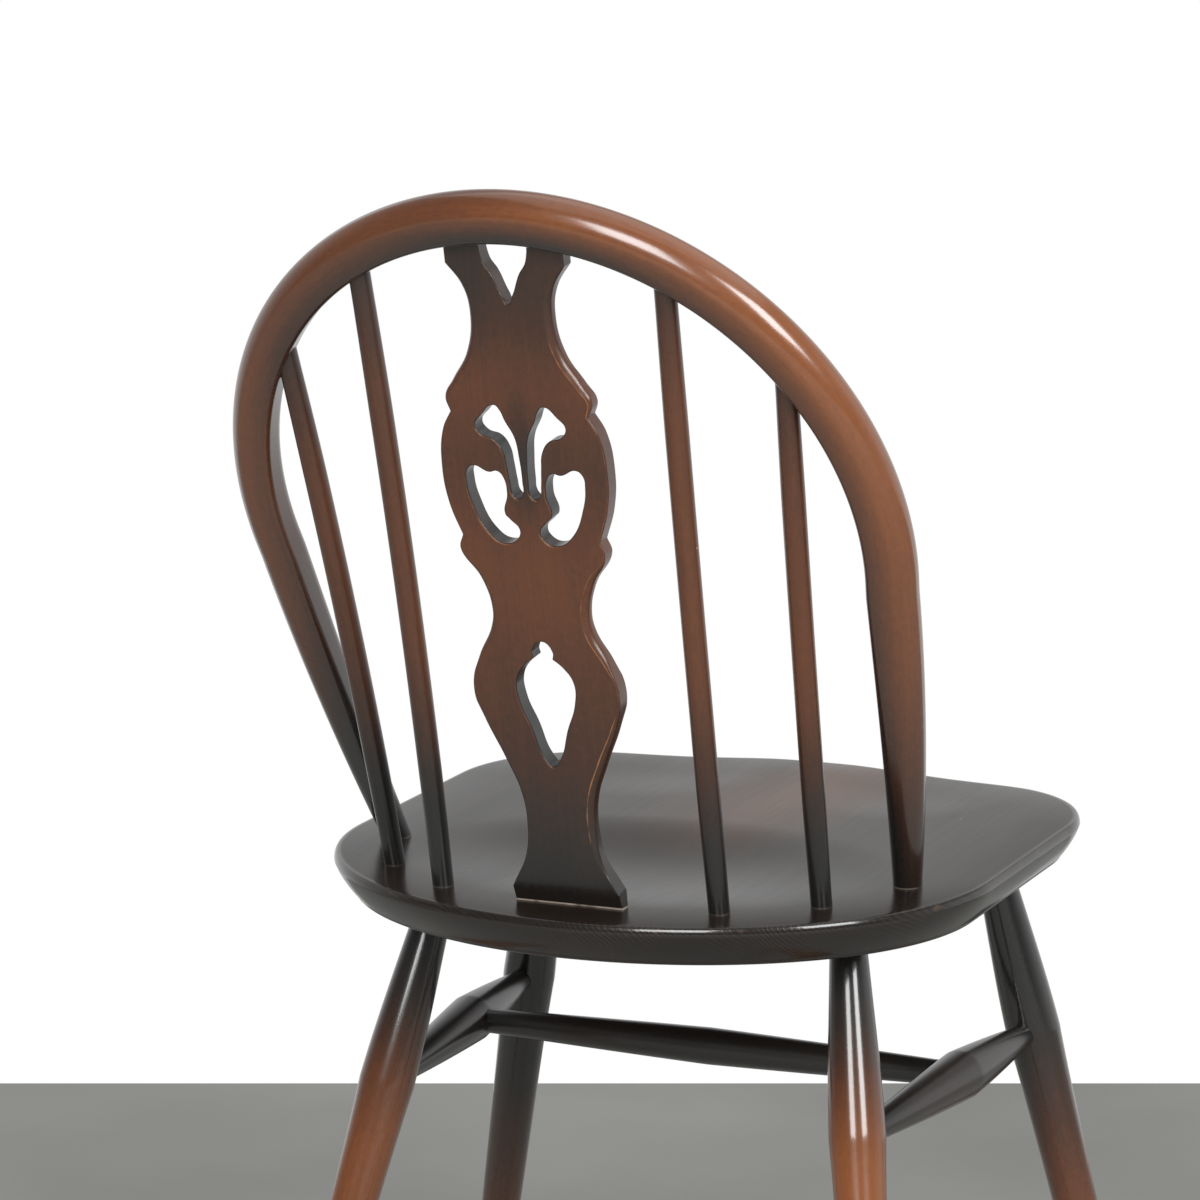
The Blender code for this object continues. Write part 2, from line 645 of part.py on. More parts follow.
size = SEAT_WIDTH + SEAT_DEPTH
under_seat = box_cutter("under_seat", (-size, -size, -size), (size, size, UNDERSIDE), seat_frame)
cut(bow, under_seat)
for side, name in SIDES:
    foot, rise, length = bow_arm(side)
    radius = BOW_FOOT_DIAMETER / 2 + CLEARANCE
    through = (2 * SEAT_THICKNESS + BOW_FOOT_DIAMETER) / rise.z
    cut(seat, round_cutter("bow_hole_" + name, foot - rise * through, foot + rise * through, radius, seat_frame))
    base = foot + rise * (UNDERSIDE / rise.z)
    stand = along(base, base + rise)
    slot = place("wedge_slot_" + name, wedge_mesh("wedge_slot_" + name, CLEARANCE), seat_frame, CUTTERS, stand)
    cut(bow, as_cutter(slot))
    wedge = place("bow_wedge_" + name, wedge_mesh("bow_wedge_" + name, 0.0), seat_frame, PARTS, stand)
    cut(wedge, under_seat)
    made.append(finish_part(wedge, (0.160, 0.085, 0.045), 0.50))

# Spindles
for side, name in SIDES:
    outer_x = BOW_FOOT_X - OUTER_SPINDLE_GAP
    inner_x = outer_x - INNER_SPINDLE_GAP
    outer_foot = Vector((side * outer_x, rear_edge_at(outer_x) - OUTER_SPINDLE_INSET, 0))
    inner_foot = Vector((side * inner_x, rear_edge_at(inner_x) - INNER_SPINDLE_INSET, 0))
    rows = (("outer", outer_foot, OUTER_SPINDLE_ANGLE), ("inner", inner_foot, INNER_SPINDLE_ANGLE))
    for row, foot, angle in rows:
        title = "spindle_" + row + "_" + name
        points = spindle_line(side, foot, angle)
        spindle = place(title, spindle_mesh(title, points), seat_frame, PARTS)
        made.append(finish_part(spindle, (0.100, 0.038, 0.018), 0.28))
        radius = SPINDLE_END_DIAMETER / 2 + CLEARANCE
        deep = (points[0] - points[1]).normalized() * CLEARANCE
        high = (points[-1] - points[-2]).normalized() * CLEARANCE
        cut(seat, round_cutter(title + "_foot_hole", points[0] + deep, points[1], radius, seat_frame))
        cut(bow, round_cutter(title + "_top_hole", points[-2], points[-1] + high, radius, seat_frame))

# Splat, its foot in the seat and its two tongues in the bow
splat = finish_part(place("splat", splat_mesh(), seat_frame, PARTS, SPLAT_FRAME), (0.085, 0.034, 0.017), 0.28)
made.append(splat)
cut(splat, splat_foot_cutter(seat_frame))
half_foot = SPLAT_FOOT_HALF + CLEARANCE
half_thick = SPLAT_THICKNESS / 2 + CLEARANCE
mortise_rear = SPLAT_FOOT_BEVEL - half_thick
mortise_low = (-half_foot, -SOCKET_DEPTH - CLEARANCE, mortise_rear)
mortise = box_cutter("splat_mortise", mortise_low, (half_foot, SEAT_THICKNESS, half_thick), seat_frame, SPLAT_FRAME)
cut(seat, mortise)
for side, name in SIDES:
    near = side * (TONGUE_INSIDE - CLEARANCE)
    far = side * (TONGUE_OUTSIDE + CLEARANCE)
    low = (min(near, far), SPLAT_HEIGHT - 2 * BOW_WIDTH, -half_thick)
    high = (max(near, far), SPLAT_HEIGHT + TONGUE_DEPTH + CLEARANCE, half_thick)
    cut(bow, box_cutter("tongue_mortise_" + name, low, high, seat_frame, SPLAT_FRAME))

# Legs, cut level at the floor
floor = box_cutter("below_floor", (-size, -size, -size), (size, size, 0.0), chair)
legs = {}
for rear, row in ((True, "rear"), (False, "front")):
    mesh = turned("leg_" + row, leg_profile(rear))
    for side, name in SIDES:
        top, down = leg_axis(side, rear)
        leg = place("leg_" + row + "_" + name, mesh.copy(), chair, PARTS, along(top, top - down))
        spin(leg)
        cut(leg, floor)
        legs[rear, side] = leg
        made.append(finish_part(leg, (0.130, 0.045, 0.018), 0.27))
        depth = SOCKET_DEPTH / math.cos(leg_lean(down)) - LEG_TOP_DIAMETER / 2 * math.tan(leg_lean(down))
        radius = LEG_TOP_DIAMETER / 2 + CLEARANCE
        tip = top - down * (depth + CLEARANCE)
        cut(seat, round_cutter(leg.name + "_hole", top + down * SEAT_THICKNESS, tip, radius, chair))

# Stretchers
side_straight = LEG_SWELL_DIAMETER / 2 - TENON_STOP + SHOULDER_RUN
cross_straight = STRETCHER_BULGE_DIAMETER / 2 - TENON_STOP + SHOULDER_RUN
cross_start, cross_end = cross_stretcher_ends()
for side, name in SIDES:
    start, end = side_stretcher_ends(side)
    run = end - start
    step = run.normalized()
    bulge_at = STRETCHER_BULGE_SHARE * (run.length + 2 * TENON_STOP) - TENON_STOP
    radius = STRETCHER_TENON_DIAMETER / 2
    bulge = STRETCHER_BULGE_DIAMETER / 2
    profile = stretcher_profile(run.length, radius, side_straight, bulge, bulge_at, 4)
    stretcher = place("stretcher_" + name, turned("stretcher_" + name, profile), chair, PARTS, along(start, end))
    spin(stretcher)
    made.append(finish_part(stretcher, (0.090, 0.036, 0.018), 0.30))
    radius += CLEARANCE
    rear_mouth = start + step * (2 * side_straight)
    front_mouth = end - step * (2 * side_straight)
    rear_hole = round_cutter("rear_socket_" + name, start - step * CLEARANCE, rear_mouth, radius, chair)
    front_hole = round_cutter("front_socket_" + name, end + step * CLEARANCE, front_mouth, radius, chair)
    cut(legs[True, side], rear_hole)
    cut(legs[False, side], front_hole)
    tip = cross_start if side > 0 else cross_end
    inward = (cross_end - cross_start).normalized() * side
    radius = CROSS_TENON_DIAMETER / 2 + CLEARANCE
    mouth = tip + inward * (2 * cross_straight)
    cut(stretcher, round_cutter("cross_socket_" + name, tip - inward * CLEARANCE, mouth, radius, chair))

run = cross_end - cross_start
radius = CROSS_TENON_DIAMETER / 2
profile = stretcher_profile(run.length, radius, cross_straight, CROSS_MIDDLE_DIAMETER / 2, run.length / 2, 4)
cross = place("stretcher_cross", turned("stretcher_cross", profile), chair, PARTS, along(cross_start, cross_end))
spin(cross)
made.append(finish_part(cross, (0.090, 0.036, 0.018), 0.30))

# The origin lies on the floor below the middle of the chair's outline
bpy.context.view_layer.update()
depsgraph = bpy.context.evaluated_depsgraph_get()
reach_y = []
for part in made:
    solid = part.evaluated_get(depsgraph)
    reach_y += [(solid.matrix_world @ vert.co).y for vert in solid.data.vertices]
chair.location.y = -(min(reach_y) + max(reach_y)) / 2
bpy.context.view_layer.update()
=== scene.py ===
# Bow-back dining chair with a pierced thistle splat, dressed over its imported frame. Metres, +Z up, the
# sitter faces -Y and the sitter's left is +X. The back and the seat are drawn in the seat's own frame: its
# origin lies on the seat's top, just ahead of the splat's rear face, y runs to the rear along the seat and z
# stands square to it.

import json
import math

import bmesh
import bpy
from mathutils import Matrix, Vector, geometry


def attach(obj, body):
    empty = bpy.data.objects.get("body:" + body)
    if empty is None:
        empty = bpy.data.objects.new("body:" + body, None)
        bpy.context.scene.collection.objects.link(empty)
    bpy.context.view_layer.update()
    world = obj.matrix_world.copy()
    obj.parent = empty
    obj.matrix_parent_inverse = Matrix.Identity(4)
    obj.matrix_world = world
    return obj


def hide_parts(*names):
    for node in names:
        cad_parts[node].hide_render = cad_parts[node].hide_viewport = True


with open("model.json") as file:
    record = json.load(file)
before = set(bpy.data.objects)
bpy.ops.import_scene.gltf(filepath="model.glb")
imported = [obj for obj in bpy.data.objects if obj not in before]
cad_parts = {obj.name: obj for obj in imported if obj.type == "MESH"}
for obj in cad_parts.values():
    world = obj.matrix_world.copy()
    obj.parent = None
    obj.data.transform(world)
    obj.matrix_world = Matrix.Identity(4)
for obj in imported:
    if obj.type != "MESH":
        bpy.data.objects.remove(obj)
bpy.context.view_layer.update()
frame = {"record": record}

# Seat
SEAT_HEIGHT = 0.404
SEAT_TILT = math.radians(4.14)
SEAT_HALF = 0.216
SEAT_DEPTH = 0.4076
SEAT_THICKNESS = 0.0275
SEAT_REAR_CURVE = 0.164
SEAT_FRONT_RADIUS = 0.550
SEAT_CORNER_RADIUS = 0.085
SEAT_EDGE_ROUND = 0.0025
SEAT_EDGE_DROP = 0.0050
SEAT_LOWER_ROUND = 0.0050
SEAT_UNDERCUT = 0.012
SEAT_RIM_BULGE = 0.0012
FOOT_HOLE_DEPTH = 0.004
CROWN_RISE = 0.0022
CROWN_DROP = 0.0008
CROWN_REACH = 0.052
CROWN_POWER = 2.6
SADDLE_DEPTH = 0.0065
SADDLE_MARGIN = 0.050
SADDLE_REAR = 0.033
SADDLE_LENGTH = 0.206
THIGH_DEPTH = 0.0025
THIGH_WIDTH = 0.150
THIGH_LENGTH = 0.180
THIGH_APART = 0.58

# Bow
BOW_SIDE_INSET = 0.0118
BOW_HEIGHT = 0.4537
BOW_RAKE = math.radians(21.62)
BOW_FOOT_AHEAD = 0.107
BOW_FOOT_INSET = 0.0397
BOW_WIDTH = 0.0282
BOW_DEPTH = 0.0260
BOW_SOFT_CORNER = 0.0120
BOW_CRISP_CORNER = 0.0045
BOW_ROLL = 0.55
BOW_FOOT_DIAMETER = 0.0178
BOW_TAPER_LENGTH = 0.215
BOW_ARM_SPRING = 0.0022
BOW_FOOT_CORNER = 0.48
BOW_FOOT_SHOWN = 0.004
BOW_STEP = 0.005

# Spindles
SPINDLE_DIAMETER = 0.0140
SPINDLE_END_DIAMETER = 0.0130
OUTER_SPINDLE_GAP = 0.0305
INNER_SPINDLE_GAP = 0.0511
OUTER_SPINDLE_INSET = 0.0368
INNER_SPINDLE_INSET = 0.0289
OUTER_SPINDLE_ANGLE = math.radians(52.5)
INNER_SPINDLE_ANGLE = math.radians(28.7)
SPRING_FORWARD = 0.0023
SPRING_INWARD = 0.0018
SPINDLE_TENON_SHOWN = (0.008, 0.003)
SPINDLE_LOW_END = 0.018
SPINDLE_ENDS = 0.045
SPINDLE_FULLNESS = 1.6

# Splat
SPLAT_THICKNESS = 0.0110
SPLAT_FROM_REAR_EDGE = 0.0304
SPLAT_SET_BACK = 0.0026
SPLAT_FOOT_BAND = 0.0110
SPLAT_FOOT_BEVEL = 0.0035
SPLAT_TENON_SHOWN = 0.006
SPLAT_EASE = 0.0008
SPLAT_CHAMFER = 0.0032
CHAMFER_FROM_X = 0.0195
CHAMFER_BELOW_TOP = 0.012
SPLAT_EDGE_SHARES = (0.0, 0.2, 0.5, 0.8, 1.0)
WORN_LINE = 0.0007
SPLAT_FLATNESS = 0.45
HOLE_WALL_SHADE = 0.45
SPLAT_WAISTS = ((0.074, 0.054), (0.185, 0.037), (0.352, 0.046))
TONGUE_DEPTH = 0.0100
TONGUE_INSIDE = 0.0150
TONGUE_OUTSIDE = 0.0380

# Legs
LEG_TOP_DIAMETER = 0.0225
LEG_SWELL_DIAMETER = 0.0348
LEG_FOOT_DIAMETER = 0.0212
LEG_NECK_FULLNESS = 0.7
LEG_THINNING = 1.3
REAR_LEG_INSET = 0.0774
REAR_LEG_FROM_REAR = 0.1257
REAR_LEG_SPLAY = math.radians(10.05)
REAR_LEG_RAKE = math.radians(15.23)
REAR_SWELL_DROP = 0.1248
FRONT_LEG_INSET = 0.0592
FRONT_LEG_FROM_FRONT = 0.0920
FRONT_LEG_SPLAY = math.radians(11.72)
FRONT_LEG_RAKE = math.radians(8.67)
FRONT_SWELL_DROP = 0.1184
FOOT_EASE = 0.0014
FOOT_SEARCH = 0.030
SHANK_STOP = 0.020
LEG_TENON_SHOWN = 0.010

# Stretchers
STRETCHER_TENON_DIAMETER = 0.0150
STRETCHER_BULGE_DIAMETER = 0.0315
STRETCHER_BULGE_SHARE = 0.570
STRETCHER_FULLNESS = 0.25
CROSS_TENON_DIAMETER = 0.0160
CROSS_MIDDLE_DIAMETER = 0.0238
TENON_STOP = 0.0025
SHOULDER_RUN = 0.0030
CLEARANCE = 0.0003

# Splat drawing in millimetres: half width, then height. The edge runs smoothly, and turns a corner at a c.
MM = 0.001
SPLAT_DRAWN_HEIGHT = 411.0
SPLAT_EDGE = [
    (35.2, 11.0, "c"), (25.4, 30.6), (22.8, 49.0), (24.6, 70.0), (33.0, 92.5), (43.0, 116.4),
    (47.7, 136.0), (42.5, 155.8), (33.2, 174.5), (31.6, 185.3), (36.2, 204.0), (46.9, 222.8),
    (44.4, 231.0, "c"), (51.0, 249.5), (53.5, 272.0), (50.2, 295.3), (44.3, 305.8, "c"), (47.2, 314.6),
    (41.5, 324.7), (31.1, 341.2), (26.4, 365.0), (29.2, 381.3),
]
SPLAT_NECK_CORNER = 394.5
NOTCH_EDGE = [(13.9, 397.0), (8.8, 389.0), (3.4, 376.5)]
NOTCH_BOTTOM = 371.5
UPPER_LOBE = [
    (15.6, 310.8), (24.5, 304.5), (29.1, 298.6), (26.3, 293.5), (17.2, 290.0), (12.4, 282.8),
    (11.0, 273.8), (9.9, 263.4), (8.6, 257.0), (5.6, 255.0), (2.6, 257.4), (2.0, 265.4), (2.6, 279.4),
    (4.4, 291.8), (9.6, 301.7), (12.4, 308.0),
]
LOWER_LOBE = [
    (33.4, 273.6), (37.4, 270.3), (38.1, 263.8), (35.9, 251.8), (26.3, 232.8), (17.0, 227.4),
    (9.0, 230.1), (6.7, 235.6), (12.4, 242.1), (15.2, 245.3), (12.7, 257.8), (14.4, 267.9), (17.6, 270.9),
    (23.2, 270.2),
]
PEAR_EDGE = [
    (4.0, 93.2), (11.8, 114.0), (17.9, 129.8), (18.4, 143.4), (12.2, 152.5), (6.2, 157.0, "c"),
    (6.6, 161.6),
]
PEAR_BOTTOM = 89.9
PEAR_TOP = 167.6

# Fineness of the curves
ROUND_STEPS = 64
CURVE_STEPS = 10
SEAT_STEPS = 320
SEAT_ARC_STEPS = (240, 60, 80)
SEAT_FOOT_STEPS = 5
SEAT_RIM_STEPS = 12
SEAT_TOP_RINGS = 57
SEAT_GRID = (0.016, 0.007)
CORNER_STEPS = 14
BOW_TAPER_STEPS = 48
BOW_TURN_STEPS = 180
SPINDLE_STEPS = 60
SPLAT_GRID = (0.0065, 0.0022)
FOLD_STEPS = 20
LEG_NECK_STEPS = 40
LEG_SHANK_STEPS = 70
STRETCHER_STEPS = 40
WELD = 0.00001
SLIVER = 1e-9
SAME_POINT = 1e-6
CUT_LIMIT = 1e-7
TURNS = [math.tau * k / ROUND_STEPS for k in range(ROUND_STEPS)]
ROUND = [(math.cos(turn), math.sin(turn)) for turn in TURNS]

# Places that several pieces share
UP = Vector((0, 0, 1))
REAR_EDGE = SPLAT_FROM_REAR_EDGE
FRONT_EDGE = REAR_EDGE - SEAT_DEPTH
REAR_CENTRE = REAR_EDGE - SEAT_REAR_CURVE
UNDERSIDE = -SEAT_THICKNESS
SEAT_TO_FLOOR = Matrix.Translation((0, 0, SEAT_HEIGHT)) @ Matrix.Rotation(-SEAT_TILT, 4, "X")


def smooth(low, high, value):
    share = min(1.0, max(0.0, (value - low) / (high - low)))
    return share * share * (3 - 2 * share)


def spot(value, centre, reach):
    # 1 at the centre, falling off softly on both sides
    return math.exp(-((value - centre) / reach) ** 2)


def fade(value, reach, power):
    # 1 up to zero, falling off softly above it
    return math.exp(-(max(0.0, value) / reach) ** power)


def put(name, data):
    thing = bpy.data.objects.new(name, data)
    bpy.context.scene.collection.objects.link(thing)
    return thing


def rear_edge_at(x):
    return REAR_CENTRE + SEAT_REAR_CURVE * math.sqrt(1 - (x / SEAT_HALF) ** 2)


def side_edge_at(y):
    return SEAT_HALF * math.sqrt(1 - max(0.0, (y - REAR_CENTRE) / SEAT_REAR_CURVE) ** 2)


BOW_RADIUS = SEAT_HALF - BOW_SIDE_INSET
BOW_ARC_HEIGHT = BOW_HEIGHT - BOW_RADIUS
BOW_FOOT_X = side_edge_at(-BOW_FOOT_AHEAD) - BOW_FOOT_INSET
BOW_UP = Vector((0, math.sin(BOW_RAKE), math.cos(BOW_RAKE)))
BOW_REAR = Vector((0, math.cos(BOW_RAKE), -math.sin(BOW_RAKE)))
BOW_CENTRE = Vector((0, -BOW_FOOT_AHEAD, 0)) + BOW_UP * BOW_ARC_HEIGHT


def bow_out(angle):
    # Direction from the bow's centre, angle 0 straight up, positive to the sitter's left
    return Vector((math.sin(angle), 0, 0)) + BOW_UP * math.cos(angle)


# Where the arms, tangent to the arc, leave it
BOW_REACH = math.hypot(BOW_FOOT_X, BOW_ARC_HEIGHT)
BOW_TURN = math.pi / 2 + (math.atan2(BOW_ARC_HEIGHT, BOW_FOOT_X) - math.acos(BOW_RADIUS / BOW_REACH))
BOW_INSIDE_TOP = BOW_CENTRE + BOW_UP * (BOW_RADIUS - BOW_WIDTH / 2)
SPLAT_RAKE = math.atan2(BOW_INSIDE_TOP.y, BOW_INSIDE_TOP.z)
SPLAT_HEIGHT = BOW_INSIDE_TOP.yz.length
SPLAT_TURN = Matrix.Rotation(math.pi / 2 - SPLAT_RAKE, 4, "X")
SPLAT_FRAME = Matrix.Translation((0, SPLAT_SET_BACK, 0)) @ SPLAT_TURN
SPLAT_FRAME @= Matrix.Translation((0, 0, SPLAT_THICKNESS / 2))


# Rear (True) and front legs: place along the seat, inset from its side, splay, rake and drop to the swell
LEGS = {
    True: (REAR_EDGE - REAR_LEG_FROM_REAR, REAR_LEG_INSET, REAR_LEG_SPLAY, REAR_LEG_RAKE, REAR_SWELL_DROP),
    False: (
        FRONT_EDGE + FRONT_LEG_FROM_FRONT, FRONT_LEG_INSET, FRONT_LEG_SPLAY, -FRONT_LEG_RAKE,
        FRONT_SWELL_DROP,
    ),
}


def leg_axis(side, rear):
    # Point where the leg's axis meets the seat's underside, its direction down and the drop to its swell
    y, inset, splay, rake, swell_at = LEGS[rear]
    down = Vector((side * math.tan(splay), math.tan(rake), -1)).normalized()
    return SEAT_TO_FLOOR @ Vector((side * (SEAT_HALF - inset), y, UNDERSIDE)), down, swell_at


def leg_joint(side, rear):
    top, down, swell_at = leg_axis(side, rear)
    return top + down * swell_at


def packed_shift():
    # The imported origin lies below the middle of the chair's outline; its rear foot says how far that is
    top, down, _ = leg_axis(1, True)
    foot = top + down * (top.z / -down.z)
    packed = {mount["name"]: mount["pos_m"] for mount in frame["record"]["mounts"]}
    return Matrix.Translation((0, packed["foot_rear_left"][1] - foot.y, 0))


ON_FLOOR = packed_shift()
ON_SEAT = ON_FLOOR @ SEAT_TO_FLOOR


# Skins: meshes that carry, at each point, what the wood shader reads there

class Skin:
    def __init__(self, frame_matrix):
        self.frame_matrix = frame_matrix
        self.points, self.faces, self.grain = [], [], []
        self.layers = {"stain": [], "wear_and_glint": [], "rise": [], "ends": []}

    def add(self, point, grain, stain, wear_and_glint=0.0, rise=1.0, ends=0.0):
        # grain: place in the board; stain: 1 darkest; rise: height above the joint; ends: 1 where the board
        # is cut across its growth rings
        self.points.append(self.frame_matrix @ Vector(point))
        self.grain.extend(grain)
        for values, value in zip(self.layers.values(), (stain, wear_and_glint, rise, ends)):
            values.append(value)
        return len(self.points) - 1

    def join(self, lower, upper):
        count = len(lower)
        for i in range(count):
            j = (i + 1) % count
            self.faces.append((lower[i], lower[j], upper[j], upper[i]))

    def cap(self, ring):
        self.faces.append(tuple(ring))

    def chain(self, rows):
        for lower, upper in zip(rows, rows[1:]):
            self.join(lower, upper)

    def tube(self, rows):
        self.chain(rows)
        self.cap(rows[0])
        self.cap(rows[-1])
        return self

    def fill(self, known, triangles, add_point):
        # Faces of a flat board: its first points are the known ones, the others are added
        places, faces, origins = triangles
        number = []
        for place, origin in zip(places, origins):
            edge = origin and origin[0] < len(known)
            number.append(known[origin[0]] if edge else add_point(place))
        self.faces += [tuple(number[i] for i in face) for face in faces]
        return number


def make_piece(name, node, skin, sharp=34.0):
    slot = node.split("_")[0] + "_wood"
    mesh = bpy.data.meshes.new(name)
    mesh.from_pydata(skin.points, [], skin.faces)
    mesh.attributes.new("grain", "FLOAT_VECTOR", "POINT").data.foreach_set("vector", skin.grain)
    for title, values in skin.layers.items():
        mesh.attributes.new(title, "FLOAT", "POINT").data.foreach_set("value", values)
    shape = bmesh.new()
    shape.from_mesh(mesh)
    bmesh.ops.remove_doubles(shape, verts=shape.verts, dist=WELD)
    bmesh.ops.holes_fill(shape, edges=[edge for edge in shape.edges if edge.is_boundary], sides=0)
    bmesh.ops.recalc_face_normals(shape, faces=shape.faces)
    shape.to_mesh(mesh)
    shape.free()
    mesh.shade_smooth()
    mesh.set_sharp_from_angle(angle=math.radians(sharp))
    mesh.materials.append(WOODS[slot])
    piece = put(name, mesh)
    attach(piece, "root")
    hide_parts(node)
    return piece


def inside(point, outline):
    x, y = point
    hit = False
    last = outline[-1]
    for now in outline:
        if (now[1] > y) != (last[1] > y):
            cross = (last[0] - now[0]) * (y - now[1]) / (last[1] - now[1]) + now[0]
            if x < cross:
                hit = not hit
        last = now
    return hit


def on_board(point, outlines):
    # The first outline is the outer one, the others are holes
    return inside(point, outlines[0]) and not any(inside(point, hole) for hole in outlines[1:])


def flat_triangles(outlines, extra, folds=()):
    # Triangles of a flat board between its outlines, with extra points inside it
    points = []
    edges = []
    for outline in outlines:
        start = len(points)
        count = len(outline)
        points += [Vector(p) for p in outline]
        edges += [(start + i, start + (i + 1) % count) for i in range(count)]
    for fold in folds:
        start = len(points)
        points += [Vector(p) for p in fold]
        edges += [(start + i, start + i + 1) for i in range(len(fold) - 1)]
    points += [Vector(p) for p in extra]
    found = geometry.delaunay_2d_cdt(points, edges, [], 0, CUT_LIMIT)
    places, faces = found[0], found[2]
    kept = []
    for face in faces:
        a, b, c = (places[i] for i in face)
        if abs((b - a).cross(c - a)) < SLIVER:
            continue
        if on_board((a + b + c) / 3, outlines):
            kept.append(tuple(face))
    return places, kept, found[3]


def grid_inside(outlines, step, margin):
    xs, ys = zip(*outlines[0])
    low_x, low_y = min(xs), min(ys)
    rows = int((max(ys) - low_y) / step)
    columns = int((max(xs) - low_x) / step)
    edge_points = [Vector(p) for outline in outlines for p in outline]
    found = []
    for j in range(1, rows + 1):
        for i in range(columns + 1):
            point = Vector((low_x + (i + 0.5 * (j % 2)) * step, low_y + j * step))
            if not on_board(point, outlines):
                continue
            if min((point - p).length_squared for p in edge_points) > margin * margin:
                found.append(point)
    return found


# Wood shaders

class Graph:
    def __init__(self, tree):
        self.tree = tree

    def plug(self, socket, value):
        if isinstance(value, bpy.types.NodeSocket):
            self.tree.links.new(value, socket)
        else:
            socket.default_value = value

    def feed(self, node, sockets):
        for key, value in sockets.items():
            self.plug(node.inputs[key], value)

    def add(self, kind, settings={}, sockets={}):
        made = self.tree.nodes.new("ShaderNode" + kind)
        for key, value in settings.items():
            setattr(made, key, value)
        self.feed(made, sockets)
        return made

    def math(self, operation, a, b=0.0, clamp=False):
        return self.add("Math", {"operation": operation, "use_clamp": clamp}, {0: a, 1: b}).outputs[0]

    def times(self, a, b):
        return self.math("MULTIPLY", a, b)

    def spread(self, value, low, high, to_low=0.0, to_high=1.0):
        sockets = {"Value": value, "From Min": low, "From Max": high, "To Min": to_low, "To Max": to_high}
        return self.add("MapRange", {}, sockets).outputs[0]

    def read(self, title, output="Fac"):
        return self.add("Attribute", {"attribute_name": title}).outputs[output]

    def stretch(self, place, scale):
        return self.add("VectorMath", {"operation": "MULTIPLY"}, {0: place, 1: scale}).outputs[0]

    def noise(self, place, scale, detail=2.0, roughness=0.5):
        sockets = {"Vector": place, "Scale": scale, "Detail": detail, "Roughness": roughness}
        return self.add("TexNoise", {}, sockets).outputs["Fac"]

    def centred(self, value, strength):
        return self.times(self.math("SUBTRACT", value, 0.5), strength)

    def total(self, *values):
        result = values[0]
        for value in values[1:]:
            result = self.math("ADD", result, value)
        return result

    def mix(self, share, a, b):
        return self.add("Mix", {"data_type": "RGBA"}, {0: share, 6: a, 7: b}).outputs[2]

    def ramp(self, share, stops):
        made = self.add("ValToRGB", {}, {0: share})
        elements = made.color_ramp.elements
        while len(elements) < len(stops):
            elements.new(1.0)
        for element, (place, colour) in zip(elements, stops):
            element.position = place
            element.color = (*colour, 1.0)
        return made.outputs[0]


HEART_X = 0.15
HEART_Z = -0.24
RING_WIDTH = 0.0026
MOTTLE_SCALE = 210.0
PATCH_SCALE = 70.0
CHIP_SCALE = 110.0
DENT_SCALE = 75.0
SKIN_SCALE = 1400.0
LINE_TOP = 0.0007
LINE_END = 0.0012


def rings(graph, grain):
    # Growth rings of the seat's board: its fibres run from front to back, its heart lies below the left side
    parts = graph.add("SeparateXYZ", {}, {0: grain})
    wander = graph.noise(graph.stretch(grain, (1.0, 0.35, 1.0)), 14.0, 2.0)
    x = graph.math("SUBTRACT", parts.outputs[0], HEART_X)
    z = graph.math("SUBTRACT", parts.outputs[2], HEART_Z)
    squares = graph.math("ADD", graph.times(x, x), graph.times(z, z))
    radius = graph.math("ADD", graph.math("SQRT", squares), graph.centred(wander, 0.030))
    turn = graph.times(radius, math.tau / RING_WIDTH)
    return graph.spread(graph.math("SINE", turn), 0.1, 1.0)


def new_material(name):
    material = bpy.data.materials.new(name)
    material.use_nodes = True
    return material, Graph(material.node_tree), material.node_tree.nodes["Principled BSDF"]


